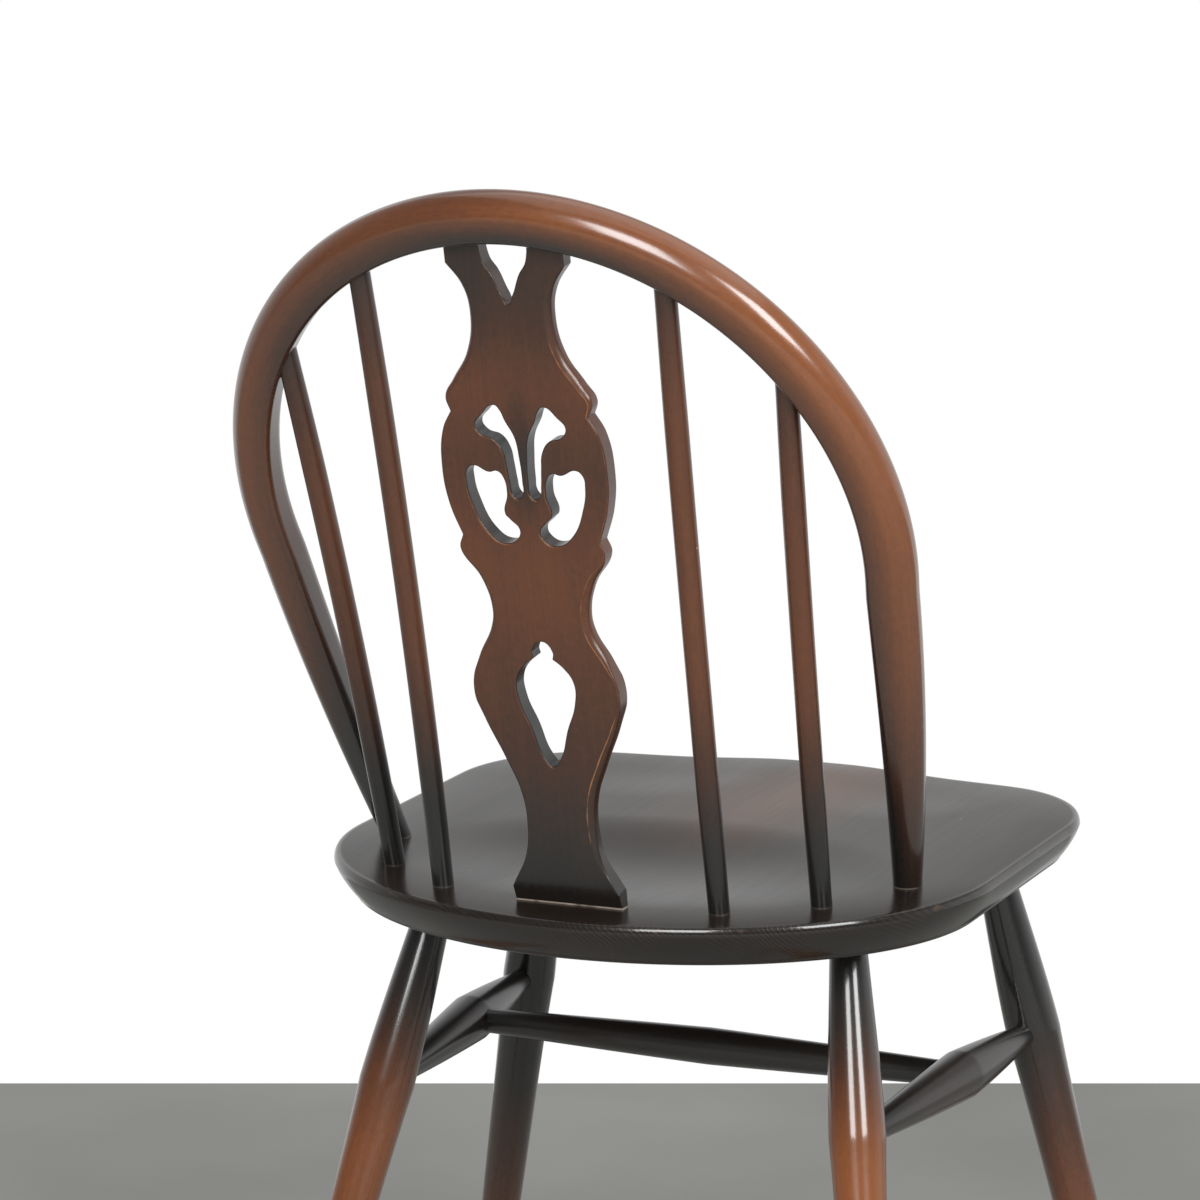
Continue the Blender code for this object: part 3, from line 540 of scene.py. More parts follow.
def wood(name, look):
    material, graph, shader = new_material(name)
    grain = graph.read("grain", "Vector")
    along = look["fibres"]
    fibre = graph.noise(graph.stretch(grain, along), 1.0, 3.0, 0.6)
    fleck = graph.noise(graph.stretch(grain, look["flecks"]), 1.0, 1.0)
    cloud = graph.noise(graph.stretch(grain, tuple(0.045 * a + 5.0 for a in along)), 1.0, 2.0)
    depth = graph.total(
        graph.read("stain"),
        graph.centred(cloud, look["cloud"]),
        graph.centred(fibre, look["fibre"]),
        graph.centred(fleck, look["fleck"]),
        graph.centred(graph.noise(grain, MOTTLE_SCALE, 3.0, 0.6), look["mottle"]),
    )
    height = graph.total(graph.times(fibre, 0.6), graph.times(fleck, 0.4))
    if look.get("rings"):
        faint = graph.times(rings(graph, grain), graph.spread(cloud, 0.35, 0.65, 0.25, 1.0))
        ring = graph.times(faint, graph.spread(graph.read("ends"), 0.0, 0.5, 0.10, 1.0))
        depth = graph.math("SUBTRACT", depth, graph.times(ring, look["rings"]))
        height = graph.math("SUBTRACT", height, graph.times(ring, 0.5))
    colour = graph.ramp(graph.math("ADD", depth, 0.0, True), look["stops"])
    # Worn edges, where the stain is rubbed through in patches, with a painted highlight on the splat's hole
    # edges
    patch = graph.noise(grain, PATCH_SCALE, 3.0, 0.65)
    rubbed = graph.spread(graph.total(graph.read("wear_and_glint"), graph.centred(patch, 1.1)), 0.45, 0.85)
    colour = graph.mix(rubbed, colour, (*look["rubbed"], 1.0))
    # Chipped lacquer in a thin broken line where the piece meets the seat
    chips = graph.spread(graph.noise(grain, CHIP_SCALE, 2.0), 0.26, 0.50, 0.0, look["line"])
    near_joint = graph.spread(graph.math("ABSOLUTE", graph.read("rise")), LINE_TOP, LINE_END, 1.0, 0.0)
    line = graph.times(near_joint, chips)
    colour = graph.mix(line, colour, (*look["chipped"], 1.0))
    # Small dents with bare wood in them
    cells = graph.add("TexVoronoi", {}, {"Vector": grain, "Scale": DENT_SCALE})
    near = graph.spread(cells.outputs["Distance"], 0.035, 0.06, 1.0, 0.0)
    chosen = graph.add("SeparateColor", {}, {0: cells.outputs["Color"]})
    rare = graph.math("GREATER_THAN", chosen.outputs[0], look["dents"])
    dent = graph.times(near, rare)
    colour = graph.mix(graph.times(dent, 0.7), colour, (*look["chipped"], 1.0))
    skin = graph.noise(grain, SKIN_SCALE, 1.0)
    gloss = graph.total(
        graph.centred(cloud, 0.10),
        graph.centred(fibre, 0.08),
        graph.times(rubbed, 0.12),
        graph.times(line, 0.2),
    )
    height = graph.total(
        graph.times(height, look["relief"]),
        graph.times(skin, 0.25),
        graph.times(dent, -1.5),
    )
    bump = graph.add("Bump", {}, {"Strength": 0.35, "Distance": 0.00012, "Height": height})
    lacquer = graph.add("Bump", {}, {"Strength": look["speckle"], "Distance": 0.0001, "Height": skin})
    # Lacquer with a faint speckle in its gloss; on the seat it is left on the rim alone
    graph.feed(shader, {
        "Base Color": colour,
        "Roughness": graph.math("ADD", gloss, look["roughness"], True),
        "Normal": bump.outputs[0],
        "Coat Weight": graph.read("ends") if look.get("rings") else look["coat"],
        "Coat Roughness": look["coat_roughness"],
        "Coat IOR": look["coat_ior"],
        "Coat Normal": lacquer.outputs[0],
    })
    return material


BEECH_STOPS = [
    (0.00, (0.300, 0.094, 0.026)),
    (0.30, (0.165, 0.052, 0.018)),
    (0.60, (0.070, 0.026, 0.013)),
    (0.85, (0.0245, 0.0172, 0.0140)),
    (1.00, (0.0138, 0.0134, 0.0128)),
]
ELM_STOPS = [
    (0.00, (0.230, 0.095, 0.034)),
    (0.45, (0.096, 0.040, 0.017)),
    (0.75, (0.028, 0.018, 0.013)),
    (1.00, (0.010, 0.009, 0.008)),
]
BEECH = {
    "stops": BEECH_STOPS, "fibres": (650.0, 650.0, 16.0), "flecks": (1300.0, 1300.0, 150.0),
    "cloud": 0.26, "fibre": 0.17, "fleck": 0.15, "mottle": 0.18,
    "rubbed": (0.42, 0.17, 0.06), "chipped": (0.62, 0.52, 0.43), "line": 0.30, "dents": 0.975,
    "roughness": 0.26, "relief": 0.6,
    "coat": 1.0, "coat_roughness": 0.15, "coat_ior": 1.62, "speckle": 0.10,
}
SATIN = {**BEECH, "roughness": 0.34, "coat_roughness": 0.22, "dents": 0.985, "coat": 0.8, "coat_ior": 1.48}
ELM = {
    "stops": ELM_STOPS, "fibres": (300.0, 10.0, 300.0), "flecks": (900.0, 60.0, 900.0),
    "cloud": 0.14, "fibre": 0.14, "fleck": 0.08, "mottle": 0.10, "rings": 0.34,
    "rubbed": (0.20, 0.09, 0.045), "chipped": (0.45, 0.36, 0.28), "line": 0.0, "dents": 0.990,
    "roughness": 0.22, "relief": 1.2,
    "coat_roughness": 0.075, "coat_ior": 1.45, "speckle": 0.06,
}

LOOKS = {
    "bow_wood": BEECH,
    "splat_wood": {**SATIN, "line": 1.0},
    "spindle_wood": {**SATIN, "line": 0.08},
    "leg_wood": {**BEECH, "coat_roughness": 0.11, "dents": 0.985, "coat_ior": 1.52},
    "stretcher_wood": {**SATIN, "coat": 0.9},
    "seat_wood": ELM,
}
WOODS = {slot: wood(slot, look) for slot, look in LOOKS.items()}


# Stain before it is shaded from place to place, and where the sitter has rubbed it
SEAT_STAIN = 0.88
SEAT_RIM_STAIN = 0.97
SEAT_UNDER_STAIN = 0.80
FOOT_HOLE_STAIN = 0.90
RUBBED_X = -0.030
RUBBED_Y = -0.290
BOW_STAIN = 0.13
SPINDLE_STAIN = 0.40
SPLAT_STAIN = 0.39
SIDE_STRETCHER_STAIN = 0.84
# The cross stretcher, under the middle of the seat, is stained darker than the side ones as painted shade
CROSS_STRETCHER_STAIN_AND_SHADE = 0.89


# Seat

def evenly(points, count):
    # The closed outline through points, as count points at equal steps
    closed = points + [points[0]]
    run = [0.0]
    for a, b in zip(closed, closed[1:]):
        run.append(run[-1] + (b - a).length)
    found = []
    k = 0
    for i in range(count):
        want = run[-1] * i / count
        while run[k + 1] < want:
            k += 1
        share = (want - run[k]) / (run[k + 1] - run[k])
        found.append(closed[k].lerp(closed[k + 1], share))
    return found


def seat_outline():
    reach = SEAT_HALF - SEAT_CORNER_RADIUS
    front_centre = FRONT_EDGE + SEAT_FRONT_RADIUS
    rise = math.sqrt((SEAT_FRONT_RADIUS - SEAT_CORNER_RADIUS) ** 2 - reach ** 2)
    corner_y = front_centre - rise
    turn = math.atan2(reach, rise)
    half = []
    rear_steps, corner_steps, front_steps = SEAT_ARC_STEPS
    for i in range(rear_steps + 1):
        angle = math.pi / 2 * i / rear_steps
        half.append((SEAT_HALF * math.sin(angle), REAR_CENTRE + SEAT_REAR_CURVE * math.cos(angle)))
    for i in range(corner_steps + 1):
        angle = (math.pi / 2 - turn) * i / corner_steps
        x = reach + SEAT_CORNER_RADIUS * math.cos(angle)
        half.append((x, corner_y - SEAT_CORNER_RADIUS * math.sin(angle)))
    for i in range(1, front_steps + 1):
        angle = turn * (1 - i / front_steps)
        half.append((SEAT_FRONT_RADIUS * math.sin(angle), front_centre - SEAT_FRONT_RADIUS * math.cos(angle)))
    other = [(-x, y) for x, y in reversed(half[1:-1])]
    return evenly([Vector(point) for point in half + other], SEAT_STEPS)


def hollow(x, y, reach_x, reach_y):
    return max(0.0, 1 - (x / reach_x) ** 2 - (y / reach_y) ** 2) ** 2


def saddle(x, y):
    # How far the seat's top is carved below its rim
    middle = REAR_EDGE - SADDLE_REAR - SADDLE_LENGTH / 2
    depth = SADDLE_DEPTH * hollow(x, y - middle, SEAT_HALF - SADDLE_MARGIN, SADDLE_LENGTH / 2)
    thigh_y = FRONT_EDGE + THIGH_LENGTH / 4
    for side in (-1, 1):
        across = x - side * THIGH_WIDTH * THIGH_APART
        depth += THIGH_DEPTH * hollow(across, y - thigh_y, THIGH_WIDTH / 2, THIGH_LENGTH / 2)
    return depth


def crown(inset):
    # Height of the seat's top before carving: it falls off softly towards the edge
    return CROWN_RISE * (1 - (1 - min(1.0, inset / CROWN_REACH)) ** CROWN_POWER) - CROWN_DROP


def seat_stain(x, y):
    # The sitter has rubbed the stain thin beside the middle
    lean = 0.12 * (y - RUBBED_Y)
    rubbed = spot(x - lean, RUBBED_X, 0.056) * spot(y, RUBBED_Y, 0.135)
    other = spot(x, 0.060, 0.060) * spot(y, -0.250, 0.100)
    return SEAT_STAIN - 0.46 * rubbed - 0.10 * other


DECK_AT_FEET = crown(SPLAT_FROM_REAR_EDGE)


def bow_arm(side):
    foot = Vector((side * BOW_FOOT_X, -BOW_FOOT_AHEAD, 0))
    end = BOW_CENTRE + bow_out(side * BOW_TURN) * BOW_RADIUS
    return foot, (end - foot).normalized(), (end - foot).length


def foot_hole(side):
    # Where the bow's foot comes through the seat's underside
    foot, rise, _ = bow_arm(side)
    base = foot + rise * (UNDERSIDE / rise.z)
    across = bow_out(side * BOW_TURN)
    radius = BOW_FOOT_DIAMETER / 2 + CLEARANCE
    ring = []
    for cos, sin in ROUND:
        point = base + (across * cos + BOW_REAR * sin) * radius
        ring.append(point + rise * ((UNDERSIDE - point.z) / rise.z))
    return ring, rise


def seat_skin():
    skin = Skin(ON_SEAT)
    outline = seat_outline()
    count = len(outline)
    inward = []
    for i in range(count):
        run = outline[(i + 1) % count] - outline[i - 1]
        inward.append(Vector((run.y, -run.x)).normalized())
    r = SEAT_EDGE_ROUND
    foot = SEAT_LOWER_ROUND
    low = UNDERSIDE + foot / 2
    high = crown(0) - SEAT_EDGE_DROP
    # Each line of the rim from below: how far in from the outline, how high, how worn
    edge = []
    for i in range(SEAT_FOOT_STEPS + 1):
        angle = math.pi / 2 * i / SEAT_FOOT_STEPS
        inset = SEAT_UNDERCUT + foot * (1 - math.sin(angle))
        edge.append((inset, UNDERSIDE + foot / 2 * (1 - math.cos(angle)), 0.15))
    for i in range(1, SEAT_RIM_STEPS):
        share = i / SEAT_RIM_STEPS
        bulge = SEAT_RIM_BULGE * 4 * share * (1 - share)
        edge.append((SEAT_UNDERCUT * (1 - share) - bulge, low + (high - low) * share, 0.0))
    for i in range(SEAT_RIM_STEPS + 1):
        angle = math.pi / 2 * i / SEAT_RIM_STEPS
        height = SEAT_EDGE_DROP * (math.sin(angle) - 1)
        edge.append((r * (1 - math.cos(angle)), height, 0.34 * math.sin(2 * angle)))
    rows = []
    for inset, height, wear_and_glint in edge:
        upper = height >= -SEAT_EDGE_DROP
        ring = []
        for point, step in zip(outline, inward):
            p = point + step * inset
            place = (p.x, p.y, height + (crown(inset) - saddle(p.x, p.y) if upper else 0.0))
            ring.append(skin.add(place, place, SEAT_RIM_STAIN, wear_and_glint, 1.0, 1.0 if upper else 0.55))
        rows.append(ring)
    flat = [point + step * r for point, step in zip(outline, inward)]
    centre = Vector((0, (REAR_EDGE + FRONT_EDGE) / 2))
    for i in range(1, SEAT_TOP_RINGS):
        ring = []
        for p, step in zip(flat, inward):
            q = p.lerp(centre, (i / SEAT_TOP_RINGS) ** 1.1)
            place = (q.x, q.y, crown(r + (q - p).dot(step)) - saddle(q.x, q.y))
            ring.append(skin.add(place, place, seat_stain(q.x, q.y)))
        rows.append(ring)
    skin.chain(rows)
    skin.cap(rows[-1])
    # Underside, with the two holes of the bow's feet
    holes = [foot_hole(side) for side in (1, -1)]
    rim = [point + step * (SEAT_UNDERCUT + foot) for point, step in zip(outline, inward)]
    outlines = [rim] + [[p.xy for p in ring] for ring, _ in holes]
    triangles = flat_triangles(outlines, grid_inside(outlines, *SEAT_GRID))

    def add_below(place):
        return skin.add((*place, UNDERSIDE), (*place, UNDERSIDE), SEAT_UNDER_STAIN)

    number = skin.fill(rows[0], triangles, add_below)
    first = count
    for ring, rise in holes:
        mouth = [None] * len(ring)
        for i, origin in enumerate(triangles[2]):
            if origin and first <= origin[0] < first + len(ring):
                mouth[origin[0] - first] = number[i]
        up = [skin.add(p + rise * FOOT_HOLE_DEPTH, p, FOOT_HOLE_STAIN) for p in ring]
        skin.join(mouth, up)
        skin.cap(up)
        first += len(ring)
    return skin


# Bow

def bow_section(width, depth, soft, crisp, roll):
    # Round corners; the first one, outer and rear, is flatter in its middle by the share roll
    points = []
    corners = ((1, 1, soft, roll), (-1, 1, crisp, 0.0), (-1, -1, soft, 0.0), (1, -1, soft, 0.0))
    for quarter, (side_x, side_y, radius, flat) in enumerate(corners):
        even = radius / (1 + flat / 15)
        for i in range(CORNER_STEPS + 1):
            angle = math.pi / 2 * (quarter + i / CORNER_STEPS)
            x = even * (math.cos(angle) + flat * (math.cos(3 * angle) / 6 - math.cos(5 * angle) / 10))
            y = even * (math.sin(angle) - flat * (math.sin(3 * angle) / 6 + math.sin(5 * angle) / 10))
            points.append((side_x * (width / 2 - radius) + x, side_y * (depth / 2 - radius) + y))
    return points


def bow_stain(point, x):
    # Red brown, dark down to the seat; painted shade to the sitter's left, on the inner side and on the top's
    # outer edge, painted light high on the right arm
    out = x / (BOW_WIDTH / 2)
    low = fade(point.z, 0.118, 2)
    # Painted shade along the inner side, deepest at the top where it faces down
    inner = smooth(0.45 - 0.30 * smooth(-0.150, -0.195, point.x), -0.85, out)
    inner *= 0.36 + 0.24 * spot(point.x, 0.0, 0.070) - 0.22 * smooth(0.150, 0.200, point.x)
    inner *= 1 + 0.38 * spot(point.x, -0.060, 0.070)
    # Painted shade on the sitter's left
    left = 0.18 * smooth(-0.050, 0.060, point.x)
    # Painted pool of light high on the sitter's right arm
    painted_light_patch = 0.09 * spot(point.x, -0.170, 0.050) * smooth(0.18, 0.26, point.z)
    # Painted shade on the outer edge at the top, dimming its reflection
    top = 0.16 * smooth(0.45, 0.95, out) * spot(point.x, 0.010, 0.060)
    return min(1.0, BOW_STAIN + left - painted_light_patch + inner + top + 0.70 * low)


def bow_skin():
    skin = Skin(ON_SEAT)
    foot_size = BOW_FOOT_DIAMETER
    round_corner = BOW_FOOT_CORNER * foot_size

    def ring_at(centre, out, grown, run, floor_rise=None):
        section = bow_section(
            foot_size + (BOW_WIDTH - foot_size) * grown,
            foot_size + (BOW_DEPTH - foot_size) * grown,
            round_corner + (BOW_SOFT_CORNER - round_corner) * grown,
            round_corner + (BOW_CRISP_CORNER - round_corner) * grown,
            BOW_ROLL * grown,
        )
        ring = []
        for x, y in section:
            point = centre + out * x + BOW_REAR * y
            if floor_rise is not None:
                point += floor_rise * ((UNDERSIDE + CLEARANCE - point.z) / floor_rise.z)
            ring.append(skin.add(point, (x, y, run), bow_stain(point, x), 0.0, point.z - DECK_AT_FEET))
        return ring

    arm = []
    _, rise, length = bow_arm(1)
    straight = BOW_FOOT_DIAMETER / 2 * math.tan(rise.angle(UP)) + SHOULDER_RUN
    heights = [UNDERSIDE / rise.z, -BOW_FOOT_SHOWN, 0.0] + [straight * i / 4 for i in range(1, 5)]
    taper = BOW_TAPER_LENGTH - straight
    heights += [straight + taper * i / BOW_TAPER_STEPS for i in range(1, BOW_TAPER_STEPS + 1)]
    for height in heights:
        share = min(1.0, max(0.0, (height - straight) / taper))
        arm.append((height, BOW_ARM_SPRING * 4 * share * (1 - share), 1 - (1 - share) ** 1.5))
    more = int((length - BOW_TAPER_LENGTH) / BOW_STEP)
    for i in range(1, more):
        arm.append((BOW_TAPER_LENGTH + (length - BOW_TAPER_LENGTH) * i / more, 0.0, 1.0))
    found = []
    for side in (1, -1):
        foot, rise, length = bow_arm(side)
        out = bow_out(side * BOW_TURN)
        part = []
        for k, (height, spring, grown) in enumerate(arm):
            run = side * (BOW_TURN * BOW_RADIUS + length - height)
            level = rise if k == 0 else None
            part.append(ring_at(foot + rise * height + out * spring, out, grown, run, level))
        found.append(part)
    middle = []
    for i in range(BOW_TURN_STEPS + 1):
        angle = BOW_TURN * (1 - 2 * i / BOW_TURN_STEPS)
        out = bow_out(angle)
        middle.append(ring_at(BOW_CENTRE + out * BOW_RADIUS, out, 1.0, angle * BOW_RADIUS))
    return skin.tube(found[0] + middle + list(reversed(found[1])))


# Spindles

def spindle_points(side, foot, angle):
    top = BOW_CENTRE + bow_out(side * angle) * BOW_RADIUS
    spring = Vector((-side * SPRING_INWARD, -SPRING_FORWARD, 0))
    points = []
    for i in range(SPINDLE_STEPS + 1):
        share = i / SPINDLE_STEPS
        points.append(foot.lerp(top, share) + spring * (4 * share * (1 - share)))
    low = (points[0] - points[1]).normalized()
    high = (points[-1] - points[-2]).normalized()
    below = [points[0] + low * depth for depth in SPINDLE_TENON_SHOWN]
    return below + points[:-1] + [points[-1] - high * TENON_STOP]


def spindle_skin(side, foot, angle):
    skin = Skin(ON_SEAT)
    points = spindle_points(side, foot, angle)
    run = 0.0
    rows = []
    total = (points[-1] - points[0]).length
    end = SPINDLE_END_DIAMETER / 2
    for i, point in enumerate(points):
        ahead = points[min(i + 1, len(points) - 1)] - points[max(i - 1, 0)]
        turn = ahead.to_track_quat("Z", "Y")
        if i:
            run += (point - points[i - 1]).length
        share = min(max((run - SPINDLE_LOW_END) / (total - SPINDLE_ENDS), 0.0), 1.0)
        fullness = 1 - (2 * share - 1) ** 2
        radius = end + (SPINDLE_DIAMETER / 2 - end) * min(1.0, SPINDLE_FULLNESS * fullness)
        high = fade(total - run, 0.060, 1.3)
        ring = []
        for cos, sin in ROUND:
            flat = Vector((radius * cos, radius * sin, 0))
            place = point + turn @ flat
            low = fade(place.z, 0.100, 2.4)
            # Dark at both ends; a little darker on the sitter's left as painted shade
            stain = min(1.0, SPINDLE_STAIN + 0.05 * side + 0.68 * low + 0.38 * high)
            grain = (flat.x + 0.1 * side, flat.y + angle, run)
            ring.append(skin.add(place, grain, stain, 0.0, place.z - DECK_AT_FEET))
        rows.append(ring)
    return skin.tube(rows)


# Splat

def sampled(outline):
    # The drawn outline as a closed line of points
    data = bpy.data.curves.new("outline", "CURVE")
    data.dimensions = "3D"
    data.resolution_u = CURVE_STEPS
    spline = data.splines.new("BEZIER")
    spline.bezier_points.add(len(outline) - 1)
    spline.use_cyclic_u = True
    for point, (x, y, *corner) in zip(spline.bezier_points, outline):
        point.co = (x, y, 0.0)
        point.handle_left_type = point.handle_right_type = "VECTOR" if corner else "AUTO"
    thing = put("outline", data)
    mesh = bpy.data.meshes.new_from_object(thing.evaluated_get(bpy.context.evaluated_depsgraph_get()))
    line = [vert.co.xy.copy() for vert in mesh.vertices]
    bpy.data.objects.remove(thing)
    bpy.data.meshes.remove(mesh)
    bpy.data.curves.remove(data)
    return [p for i, p in enumerate(line) if (p - line[i - 1]).length > SAME_POINT]


def splat_outlines():
    stretch = SPLAT_HEIGHT / (SPLAT_DRAWN_HEIGHT * MM)

    def drawn(points):
        return [(x * MM, y * MM * stretch, *corner) for x, y, *corner in points]

    def both_sides(half):
        return half + [(-x, y, *corner) for x, y, *corner in reversed(half) if x > 0]

    foot = SPLAT_EDGE[0][0] * MM
    top = SPLAT_HEIGHT + TONGUE_DEPTH
    half = [(foot, -SPLAT_TENON_SHOWN, "c"), (foot, 0.0, "c")] + drawn(SPLAT_EDGE)
    half.append((TONGUE_OUTSIDE, SPLAT_NECK_CORNER * MM * stretch, "c"))
    half.append((TONGUE_OUTSIDE, top, "c"))
    half.append((TONGUE_INSIDE, top, "c"))
    half += drawn(NOTCH_EDGE) + drawn([(0.0, NOTCH_BOTTOM)])
    found = [sampled(both_sides(half))]
    found.append(sampled(both_sides(drawn([(0.0, PEAR_BOTTOM)] + PEAR_EDGE + [(0.0, PEAR_TOP)]))))
    for lobe in (drawn(UPPER_LOBE), drawn(LOWER_LOBE)):
        found.append(sampled(lobe))
        found.append(sampled([(-x, y) for x, y in lobe]))
    return found


def splat_stain(x, y):
    # Dark at the foot, at the neck and about the thistle, lightest at the middle waist
    low = fade(y, 0.103, 1.5)
    waist = spot(y, 0.200, 0.035)
    # Painted shade: the neck is darker on the sitter's left
    high = smooth(0.315, 0.385, y) * (0.30 + 0.08 * smooth(0.0, 0.03, x))
    thistle = spot(y, 0.276, 0.036) * (0.15 + 0.30 * spot(x, 0.0, 0.007))
    band = 0.07 * smooth(SPLAT_FOOT_BAND + 0.001, SPLAT_FOOT_BAND - 0.001, y)
    return min(1.0, SPLAT_STAIN + 0.61 * low + high + thistle - 0.06 * waist) - band


def splat_worn(x, y):
    # The edges are rubbed most on the sitter's right, at the waists and below the neck
    if x > 0:
        return 0.36 + 0.22 * spot(y, 0.195, 0.025)
    ends = smooth(0.030, 0.055, y) * smooth(0.372, 0.345, y)
    low = spot(y, 0.095, 0.030)
    high = spot(y, 0.325, 0.022)
    belly = 0.6 * spot(y, 0.160, 0.025)
    return 0.22 + ends * (0.36 + 0.34 * max(low, high, belly))


def rear_sink(y):
    # The rear face is bevelled at the foot down to the thickness that enters the seat
    return SPLAT_FOOT_BEVEL * min(1.0, max(0.0, (SPLAT_FOOT_BAND - y) / SPLAT_FOOT_BAND))


def clear_inset(outline, point, normal, inset):
    # The inset, cut back where it would come too near to another part of the outline
    for i in range(6):
        place = point + normal * inset
        if min((place - other).length for other in outline) > 0.85 * inset:
            break
        inset *= 0.75
    return inset


def inward_normals(outline, hole):
    count = len(outline)
    area = sum(a.x * b.y - b.x * a.y for a, b in zip(outline, outline[1:] + outline[:1]))
    hand = 1 if (area > 0) != hole else -1
    normals = []
    for i, point in enumerate(outline):
        before = (point - outline[i - 1]).normalized()
        after = (outline[(i + 1) % count] - point).normalized()
        mean = (before + after).normalized()
        normals.append(Vector((-mean.y, mean.x)) * hand)
    return normals


def chamfer_at(point):
    # Width of the chamfer, widest at the waists
    if abs(point.x) <= CHAMFER_FROM_X or point.y >= SPLAT_HEIGHT - CHAMFER_BELOW_TOP:
        return 0.0
    shares = [max(0.0, 1 - ((point.y - waist) / reach) ** 2) ** 0.8 for waist, reach in SPLAT_WAISTS]
    return SPLAT_CHAMFER * max(shares)


def splat_skin():
    skin = Skin(ON_SEAT @ SPLAT_FRAME)
    outlines = splat_outlines()
    half_thick = SPLAT_THICKNESS / 2
    face_rings = {-1: [], 1: []}

    def add_point(place, side, sink=0.0, wear_and_glint=0.0, dark=0.0):
        z = side * (half_thick - sink)
        if side < 0:
            z = max(z, -half_thick + rear_sink(place.y))
        rise = (SPLAT_FRAME @ Vector((place.x, place.y, z))).z - DECK_AT_FEET
        stain = min(1.0, splat_stain(place.x, place.y) + dark)
        return skin.add((place.x, place.y, z), (place.x, z, place.y), stain, wear_and_glint, rise)

    for k, outline in enumerate(outlines):
        normals = inward_normals(outline, k > 0)
        chamfer = [0.0 if k else chamfer_at(point) for point in outline]
        others = [point for other in outlines if other is not outline for point in other]
        face_insets = []
        for point, normal, extra in zip(outline, normals, chamfer):
            across = SPLAT_EASE + extra
            room = 0.45 * min((point - other).length for other in others)
            inset = min(room, clear_inset(outline, point, normal, across + WORN_LINE))
            face_insets.append(max(1.02 * across, inset))
        rows = []
        for side in (-1, 1):
            edge_line = [p + normal * inset for p, normal, inset in zip(outline, normals, face_insets)]
            half_rows = [[add_point(place, side) for place in edge_line]]
            face_rings[side].append((half_rows[0], edge_line))
            for share in SPLAT_EDGE_SHARES:
                ring = []
                angle = math.pi / 2 * share
                for point, normal, extra in zip(outline, normals, chamfer):
                    across = SPLAT_EASE + extra
                    straight = SPLAT_FLATNESS * extra / across
                    inset = across * ((1 - math.sin(angle)) * (1 - straight) + (1 - share) * straight)
                    sink = across * ((1 - math.cos(angle)) * (1 - straight) + share * straight)
                    # Painted shade on the walls of the piercings, deepening from the face onto the wall
                    dark = HOLE_WALL_SHADE * share if k else 0.0
                    wear_and_glint = 0.0
                    if share == 0.0:
                        # A little wear round each hole, and a painted highlight on its lower edges toward the
                        # sitter's left
                        hole_wear_and_glint = 0.12 + 0.75 * max(0.0, 0.6 * normal.x - 0.8 * normal.y)
                        wear_and_glint = hole_wear_and_glint if k else splat_worn(point.x, point.y)
                    ring.append(add_point(point + normal * inset, side, sink, wear_and_glint, dark))
                half_rows.append(ring)
            rows += half_rows if side < 0 else list(reversed(half_rows))
        skin.chain(rows)
    foot = SPLAT_EDGE[0][0] * MM - 4 * SPLAT_EASE
    for side in (-1, 1):
        lines = [line for _, line in face_rings[side]]
        numbers = [number for ring, _ in face_rings[side] for number in ring]
        folds = []
        if side < 0:
            for height in (0.0, SPLAT_FOOT_BAND):
                folds.append([(-foot + 2 * foot * i / FOLD_STEPS, height) for i in range(FOLD_STEPS + 1)])
        triangles = flat_triangles(lines, grid_inside(lines, *SPLAT_GRID), folds)
        skin.fill(numbers, triangles, lambda place: add_point(place, side))
    return skin


# Legs and stretchers

def turned_frame(start, end):
    return ON_FLOOR @ Matrix.Translation(start) @ (end - start).to_track_quat("Z", "Y").to_matrix().to_4x4()


def leg_radius(drop, neck, swell_at, length):
    tenon = LEG_TOP_DIAMETER / 2
    swell = LEG_SWELL_DIAMETER / 2
    foot = LEG_FOOT_DIAMETER / 2
    if drop <= neck:
        return tenon
    if drop <= swell_at:
        share = (drop - neck) / (swell_at - neck)
        fullness = share + LEG_NECK_FULLNESS * share ** 2 * (1 - share)
        return tenon + (swell - tenon) * fullness
    share = min(1.0, (drop - swell_at) / (length - swell_at))
    thinning = share + LEG_THINNING * share * (1 - share) ** 4
    return swell - (swell - foot) * thinning


# Dark stain of each leg, partly painted shade: where it begins to run out below the seat, where it has run
# out, and what is left
# The front legs' longer dark run and the darker rest on all but the rear right leg are painted shade
LEG_STAIN_AND_SHADE = {
    (-1, True): (0.020, 0.162, 0.00), (1, True): (0.020, 0.180, 0.17),
    (-1, False): (0.050, 0.310, 0.20), (1, False): (0.110, 0.420, 0.22),
}


def leg_stain(drop, length, stained):
    begin, end, left = stained
    dark = 1 - smooth(begin, end, drop)
    foot = smooth(0.060, 0.0, length - drop)
    return min(1.0, left + (1.0 - left) * dark + 0.20 * foot)


